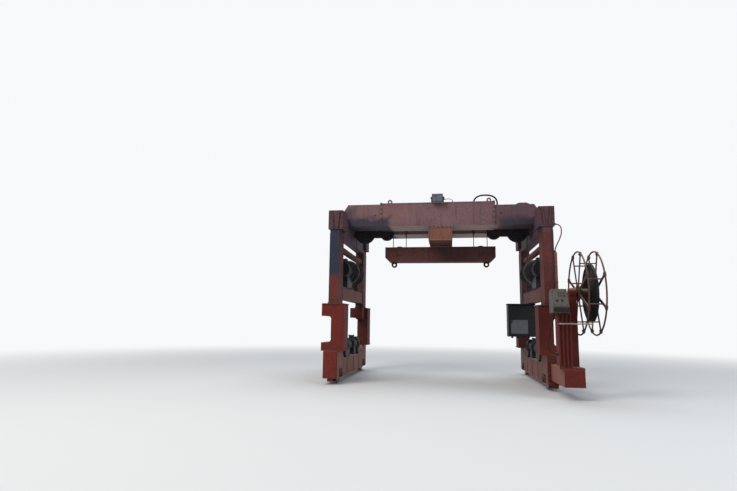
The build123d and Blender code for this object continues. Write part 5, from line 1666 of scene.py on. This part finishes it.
@dataclass
class LiftingBeamDetail:
    """Flange strips, stiffeners, pin keepers and seams of the lifting beam."""

    half: float = 0.11
    low: float = 2.068
    high: float = 2.338

    def build(self) -> None:
        """Make the beam's plates and bolts."""
        plates, bolts, welds = Former(), Lines(), Lines()
        z, under = HoistRopes.pulley_z, self.high - 0.012
        for end in SIDES:
            y0, y1 = end * self.half, end * (self.half + 0.01)
            plates.box((-1.0, y0, under), (1.0, y1, self.high + 0.002))
            plates.box((-0.92, y0, self.low - 0.002), (0.92, y1, self.low + 0.012))
            welds.run((-1.0, y0 + end * 0.001, self.high - 0.013), (1.0, y0 + end * 0.001, self.high - 0.013))
            for side in SIDES:
                for x in (0.2, 0.48, 0.95):
                    plates.box((side * x - 0.004, y0, self.low + 0.06), (side * x + 0.004, y0 + end * 0.008, under))
                x = side * HoistRopes.pulley_x
                plates.cap((x, y0, z), Axis.Y, end, 0.034, 0.009, 0.0125, 0.03)
                plates.box((x - 0.05, y0, z - 0.05), (x + 0.05, y0 + end * 0.012, z - 0.031))
                bolts.grid((x - 0.036, y0 + end * 0.014, z - 0.0405), (0.072, 0, 0), (2, 1, 1), Axis.Y.facing(end))
                welds.run((side * 0.79, end * 0.016, self.low), (side * 0.89, end * 0.016, self.low))
        plates.piece("lifting_beam_plates", Finish.BEAM, "spreader")
        welds.seams("lifting_beam_welds", Finish.BEAM, 0.0035, "spreader")
        bolts.heads("lifting_beam_bolts", 0.0075, 0.007, "spreader")


@dataclass
class SheaveDetail:
    """Pin keepers and their bolts on the sheave brackets in the girder's slot."""

    sheaves: tuple[tuple[float, float], ...] = ((HoistRopes.big_x, 0.046), (HoistRopes.small_x, 0.04))

    def build(self) -> None:
        """Make the keepers and bolts."""
        plates, bolts = Former(), Lines()
        for side, (distance, radius), hand in product(SIDES, self.sheaves, SIDES):
            x, y, z = side * distance, hand * 0.056, HoistRopes.sheave_z + radius
            plates.box((x - 0.06, y, z - 0.004), (x + 0.06, y + hand * 0.01, z + 0.022))
            bolts.grid((x - 0.045, y + hand * 0.012, z + 0.009), (0.09, 0, 0), (2, 1, 1), Axis.Y.facing(hand))
            plates.rod((x, hand * 0.07, HoistRopes.sheave_z), Axis.Y, 0.0, hand * 0.008, 0.012, 6)
        plates.piece("sheave_pin_keepers", Finish.DARK)
        bolts.heads("sheave_pin_bolts", 0.0075, 0.007)


@dataclass
class CabinetDetail:
    """Door trim, hinges, handle, blank plate and glands of the electrical cabinet."""

    low: Point = (1.24, 0.338, 0.73)
    high: Point = (1.72, 0.65, 1.32)

    def build(self) -> None:
        """Make the cabinet's fittings."""
        trim, bolts, grey = Former(), Lines(), Former()
        (x0, y0, z0), (x1, y1, z1), front = self.low, self.high, Axis.Y.facing(-1)
        middle = (z0 + z1) / 2
        trim.box((x0 - 0.012, y0 - 0.02, z1), (x1 + 0.008, y1 + 0.01, z1 + 0.012), 0.004)
        trim.box((x0 - 0.012, y0 - 0.02, z1 - 0.012), (x1 + 0.008, y0 - 0.014, z1 + 0.006))
        for z in (z0 + 0.09, middle, z1 - 0.09):
            trim.rod((x1 - 0.014, y0 + 0.004, z), Axis.Z, -0.03, 0.03, 0.009, 16)
            trim.box((x1 - 0.014, y0 + 0.002, z - 0.026), (x1 - 0.004, y0 + 0.013, z + 0.026))
        trim.rod((x0 + 0.058, y0, middle + 0.04), Axis.Y, 0.0, -0.012, 0.017, 20)
        trim.box((x0 + 0.05, y0 - 0.022, middle - 0.05), (x0 + 0.066, y0 - 0.01, middle + 0.055), 0.004)
        for dx, sides in ((0.08, 6), (0.17, 18), (0.27, 18), (0.38, 18)):
            trim.lathe([(0.002, 0.0), (0.002, 0.02), (-0.018, 0.02), (-0.03, 0.014), (-0.03, 0.0)],
                       (x0 + dx, 0.5, z0), Axis.Z, sides)
        grey.box((1.285, y0 - 0.004, 0.785), (1.585, y0, 1.035))
        bolts.grid((1.297, y0 - 0.0045, 0.797), (0.276, 0, 0.226), (2, 1, 2), front)
        bolts.grid((x0 + 0.035, y0 - 0.001, z0 + 0.035), (x1 - x0 - 0.07, 0, z1 - z0 - 0.07), (2, 1, 2), front)
        bolts.grid((1.66, 0.668, 1.18), (0.03, 0, 0.045), (2, 1, 2), front)
        trim.piece("cabinet_fittings", Finish.CABINET)
        grey.piece("cabinet_blank_plate", Finish.PLATE)
        bolts.heads("cabinet_screws", 0.0045, 0.004)


@dataclass
class OperatorStation:
    """Console's panel and controls, post seams and bolts, and the guard rail's ends."""

    x_low: float = 1.51
    x_high: float = 1.715
    lip: Point = (0.0, -2.47, 1.19)
    ridge: Point = (0.0, -2.33, 1.43)
    facing: Point = (0.0, -0.864, 0.504)
    rail_y: float = -2.5
    rail_z: float = 0.967

    def slope(self, x: float, up: float) -> Matrix:
        """Place on the desk's slope.

        Args:
            x: distance across the machine.
            up: distance up the slope from its lip.

        Returns:
            Matrix that moves a form there from the origin, with +Z out of the slope.
        """
        along = (Vector(self.ridge) - Vector(self.lip)).normalized()
        across = Vector((1, 0, 0))
        turn = Matrix((across, along, across.cross(along))).transposed().to_4x4()
        return Matrix.Translation(Vector(self.lip) + along * up + across * x) @ turn

    def knob(self, former: Former, x: float, up: float, profile: Profile) -> None:
        """Add a turned control on the slope.

        Args:
            former: the mesh that it goes into.
            x: distance across the machine.
            up: distance up the slope from its lip.
            profile: the knob's (height, radius) points.
        """
        start = len(former.mesh.verts)
        former.lathe(profile, (0.0, 0.0, 0.0), Axis.Z, 18)
        former.mesh.verts.ensure_lookup_table()
        bmesh.ops.transform(former.mesh, matrix=self.slope(x, up), verts=former.mesh.verts[start:])

    def desk(self) -> None:
        """Make the panel with its controls."""
        panel, dark = Former(), Former()
        left, right = self.x_low, self.x_high
        panel.box((-0.088, 0.022, -0.001), (0.088, 0.25, 0.003), 0.0015, self.slope((left + right) / 2, 0.0))
        panel.box((left - 0.004, -2.474, 1.188), (right + 0.004, -2.44, 1.198))
        for column, row in product(range(3), range(2)):
            self.knob(dark, right - 0.045 - column * 0.036, 0.165 + row * 0.045,
                      [(0.002, 0.0), (0.002, 0.0125), (0.005, 0.0125), (0.0065, 0.0105), (0.0065, 0.0085),
                       (0.011, 0.0085), (0.0125, 0.007), (0.0125, 0.0)])
        for x in (left + 0.06, right - 0.08):
            self.knob(dark, x, 0.09, [(0.002, 0.0), (0.002, 0.016), (0.006, 0.016), (0.008, 0.011), (0.022, 0.009),
                                      (0.025, 0.006), (0.025, 0.0)])
        dark.box((left + 0.004, -2.4745, 1.112), (right - 0.004, -2.469, 1.18))
        panel.box((left - 0.002, -2.476, 1.106), (right + 0.002, -2.2, 1.111))
        panel.piece("console_panel", Finish.CONSOLE)
        dark.piece("console_controls", Finish.DARKGREY)

    def build(self) -> None:
        """Make the desk's fittings, the seams and bolts, and the rail's ends."""
        self.desk()
        bolts, welds, rail = Lines(), Lines(), Former()
        slope = self.slope((self.x_low + self.x_high) / 2, 0.0)
        for up, x in product((0.03, 0.242), (-0.08, 0.08)):
            bolts.spot(slope @ Vector((x, up, 0.0035)), self.facing)
        bolts.grid((1.775, -2.375, 0.404), (0.085, 0.15, 0), (2, 2, 1))
        for y in (-2.125, -1.995):
            bolts.grid((1.772, y, 0.4), (0.098, 0, 0), (2, 1, 1))
        welds.run((1.578, -2.2, 0.403), (1.743, -2.2, 0.403), (1.743, -2.376, 0.403))
        welds.frame((1.795, -2.11, 0.399), (1.89, -2.01, 0.399))
        bolts.heads("console_bolts", 0.006, 0.005)
        welds.seams("console_welds", Finish.NOSE, 0.004)
        for x in (1.582, 1.985):
            rail.lathe([(-0.008, 0.0), (-0.008, 0.0105), (-0.004, 0.0115), (0.004, 0.0115), (0.008, 0.0105),
                        (0.008, 0.0)], (x, self.rail_y, self.rail_z), Axis.X, 20)
        for x in (1.586, 1.735):
            rail.cap((x, -2.4, self.rail_z), Axis.Y, 1, 0.016, 0.005, 0.007, 0.009, 6)
            rail.rod((x, self.rail_y, self.rail_z), Axis.X, -0.009, 0.009, 0.0125, 20)
        rail.piece("guard_rail_fittings", Finish.PALE)


@dataclass
class ReelDetail:
    """Wound cable, hub flanges, spoke clamps and shaft end of the cable reel."""

    y: float = -2.06
    z: float = 1.39
    inner_x: float = 1.925
    outer_x: float = 2.14
    pack_x: float = 2.082
    rim: float = 0.57
    pack: tuple[float, float] = (0.069, 0.398)
    pitch: float = 0.0148
    spokes: int = 8

    def cable(self) -> None:
        """Make the pack's two layers of cable."""
        turns = Lines()
        count = int((self.pack[1] - self.pack[0]) / self.pitch)
        for layer, k in product(SIDES, range(count + 1)):
            turns.spot((self.pack_x + layer * 0.0082, self.y, self.z), Axis.X.value,
                       self.pack[0] + self.pitch * (k + (0.25 if layer > 0 else 0.0)))
        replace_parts(turns.turns("reel_cable_turns", Finish.SHEATH, "cable_reel", 0.0078, 72), "wound_cable")

    def build(self) -> None:
        """Make the reel's cable and fittings."""
        self.cable()
        plates, bolts, pale = Former(), Lines(), Former()
        angles = [(k + 0.5) * 360 / self.spokes for k in range(self.spokes)]
        for x, hand in ((self.inner_x, -1), (self.outer_x, 1)):
            plates.lathe([(-0.009, 0.058), (-0.009, 0.118), (-0.007, 0.12), (0.007, 0.12), (0.009, 0.118),
                          (0.009, 0.058)], (x, self.y, self.z), Axis.X, 40)
            bolts.circle((x + hand * 0.0105, self.y, self.z), Axis.X, hand, 0.1, 8, 22.5)
            for angle in angles:
                turn = turned((x, self.y, self.z), angle, Axis.X)
                plates.box((-0.014, -0.028, self.rim - 0.036), (0.014, 0.028, self.rim + 0.016), 0.003, turn)
                for dy in (-0.018, 0.018):
                    bolts.spot(turn @ Vector((hand * 0.0155, dy, self.rim - 0.02)), Axis.X.facing(hand))
        for angle in angles:
            plates.box((self.inner_x, -0.009, 0.418), (self.outer_x, 0.009, 0.432), 0.003,
                       turned((0.0, self.y, self.z), angle, Axis.X))
        plates.piece("reel_plates", Finish.REEL, "cable_reel")
        bolts.heads("reel_bolts", 0.0065, 0.006, "cable_reel")
        pale.lathe([(0.0, 0.0), (0.0, 0.034), (0.004, 0.036), (0.012, 0.036), (0.014, 0.0)], (2.18, self.y, self.z),
                   Axis.X, 6)
        pale.rod((2.166, self.y, self.z), Axis.X, 0.0, 0.012, 0.04, 28)
        pale.piece("reel_shaft_nut", Finish.BOLT)


@dataclass
class LampDetail:
    """Bezel, glass, cooling ribs and clamp knobs of the floodlight."""

    centre: Point = (-0.02, -0.7425, 3.107)
    half: Point = (0.094, 0.0425, 0.072)
    tilt: float = 12.0
    bar: float = 0.014
    inset: float = 0.01

    def build(self) -> None:
        """Make the lamp's parts."""
        turn = turned(self.centre, self.tilt, Axis.X)
        (hx, hy, hz), bar = self.half, self.bar
        casing, glass, knobs, bolts = Former(), Former(), Former(), Lines()
        top = hz - self.inset
        for x0, x1, z0, z1 in ((-hx, hx, top - bar, top), (-hx, hx, -top, bar - top), (-hx, bar - hx, -top, top),
                               (hx - bar, hx, -top, top)):
            casing.box((x0, -hy - 0.008, z0), (x1, 0.006 - hy, z1), 0.003, turn)
        for k in range(9):
            x = 0.019 * k - 0.076
            casing.box((x - 0.0022, hy - 0.004, 0.02 - hz), (x + 0.0022, hy + 0.012, hz - 0.02), 0.001, turn)
        wide, tall = hx - bar + 0.001, top - bar + 0.001
        glass.box((-wide, -hy - 0.003, -tall), (wide, 0.001 - hy, tall), 0.001, turn)
        for hand, (dx, thick, radius, sides) in product(SIDES, ((0.11, 0.006, 0.016, 20), (0.116, 0.008, 0.009, 6))):
            knobs.rod((self.centre[0] + hand * dx, *self.centre[1:]), Axis.X, 0.0, hand * thick, radius, sides)
        casing.piece("floodlight_casing", Finish.LAMP)
        glass.piece("floodlight_glass", Finish.GLASS)
        knobs.piece("floodlight_clamps", Finish.BOLT)
        bolts.grid((-0.1, -0.6, 3.056), (0.16, 0.04, 0), (2, 2, 1))
        bolts.heads("floodlight_bolts", 0.007, 0.006)


@dataclass
class DuctDetail:
    """Clips, screws and lid of the cable duct."""

    heights: tuple[float, ...] = (1.36, 1.6, 1.84, 2.02)

    def build(self) -> None:
        """Make the duct's fittings."""
        clips, bolts = Former(), Lines()
        for z in self.heights:
            clips.box((1.755, -1.4, z - 0.011), (1.8025, -1.325, z + 0.011))
            bolts.spot((1.8035, -1.3625, z), Axis.X.value)
        clips.box((1.799, -1.389, 1.284), (1.8018, -1.336, 2.046), 0.001)
        clips.piece("duct_clips", Finish.DUCT)
        bolts.heads("duct_screws", 0.004, 0.003)


def main() -> None:
    """Build the whole scene in order."""
    logging.basicConfig(level=logging.INFO, format="%(name)s %(message)s")
    for group in (Studio(), LooseCables(), HoistRopes(), GirderDetail(), PortalDetail(), TruckDetail(), MotorDetail(),
                  LiftingBeamDetail(), SheaveDetail(), CabinetDetail(), OperatorStation(), ReelDetail(), LampDetail(),
                  DuctDetail()):
        group.build()
    PALETTE.dress_nodes()


if __name__ == "__main__":
    main()
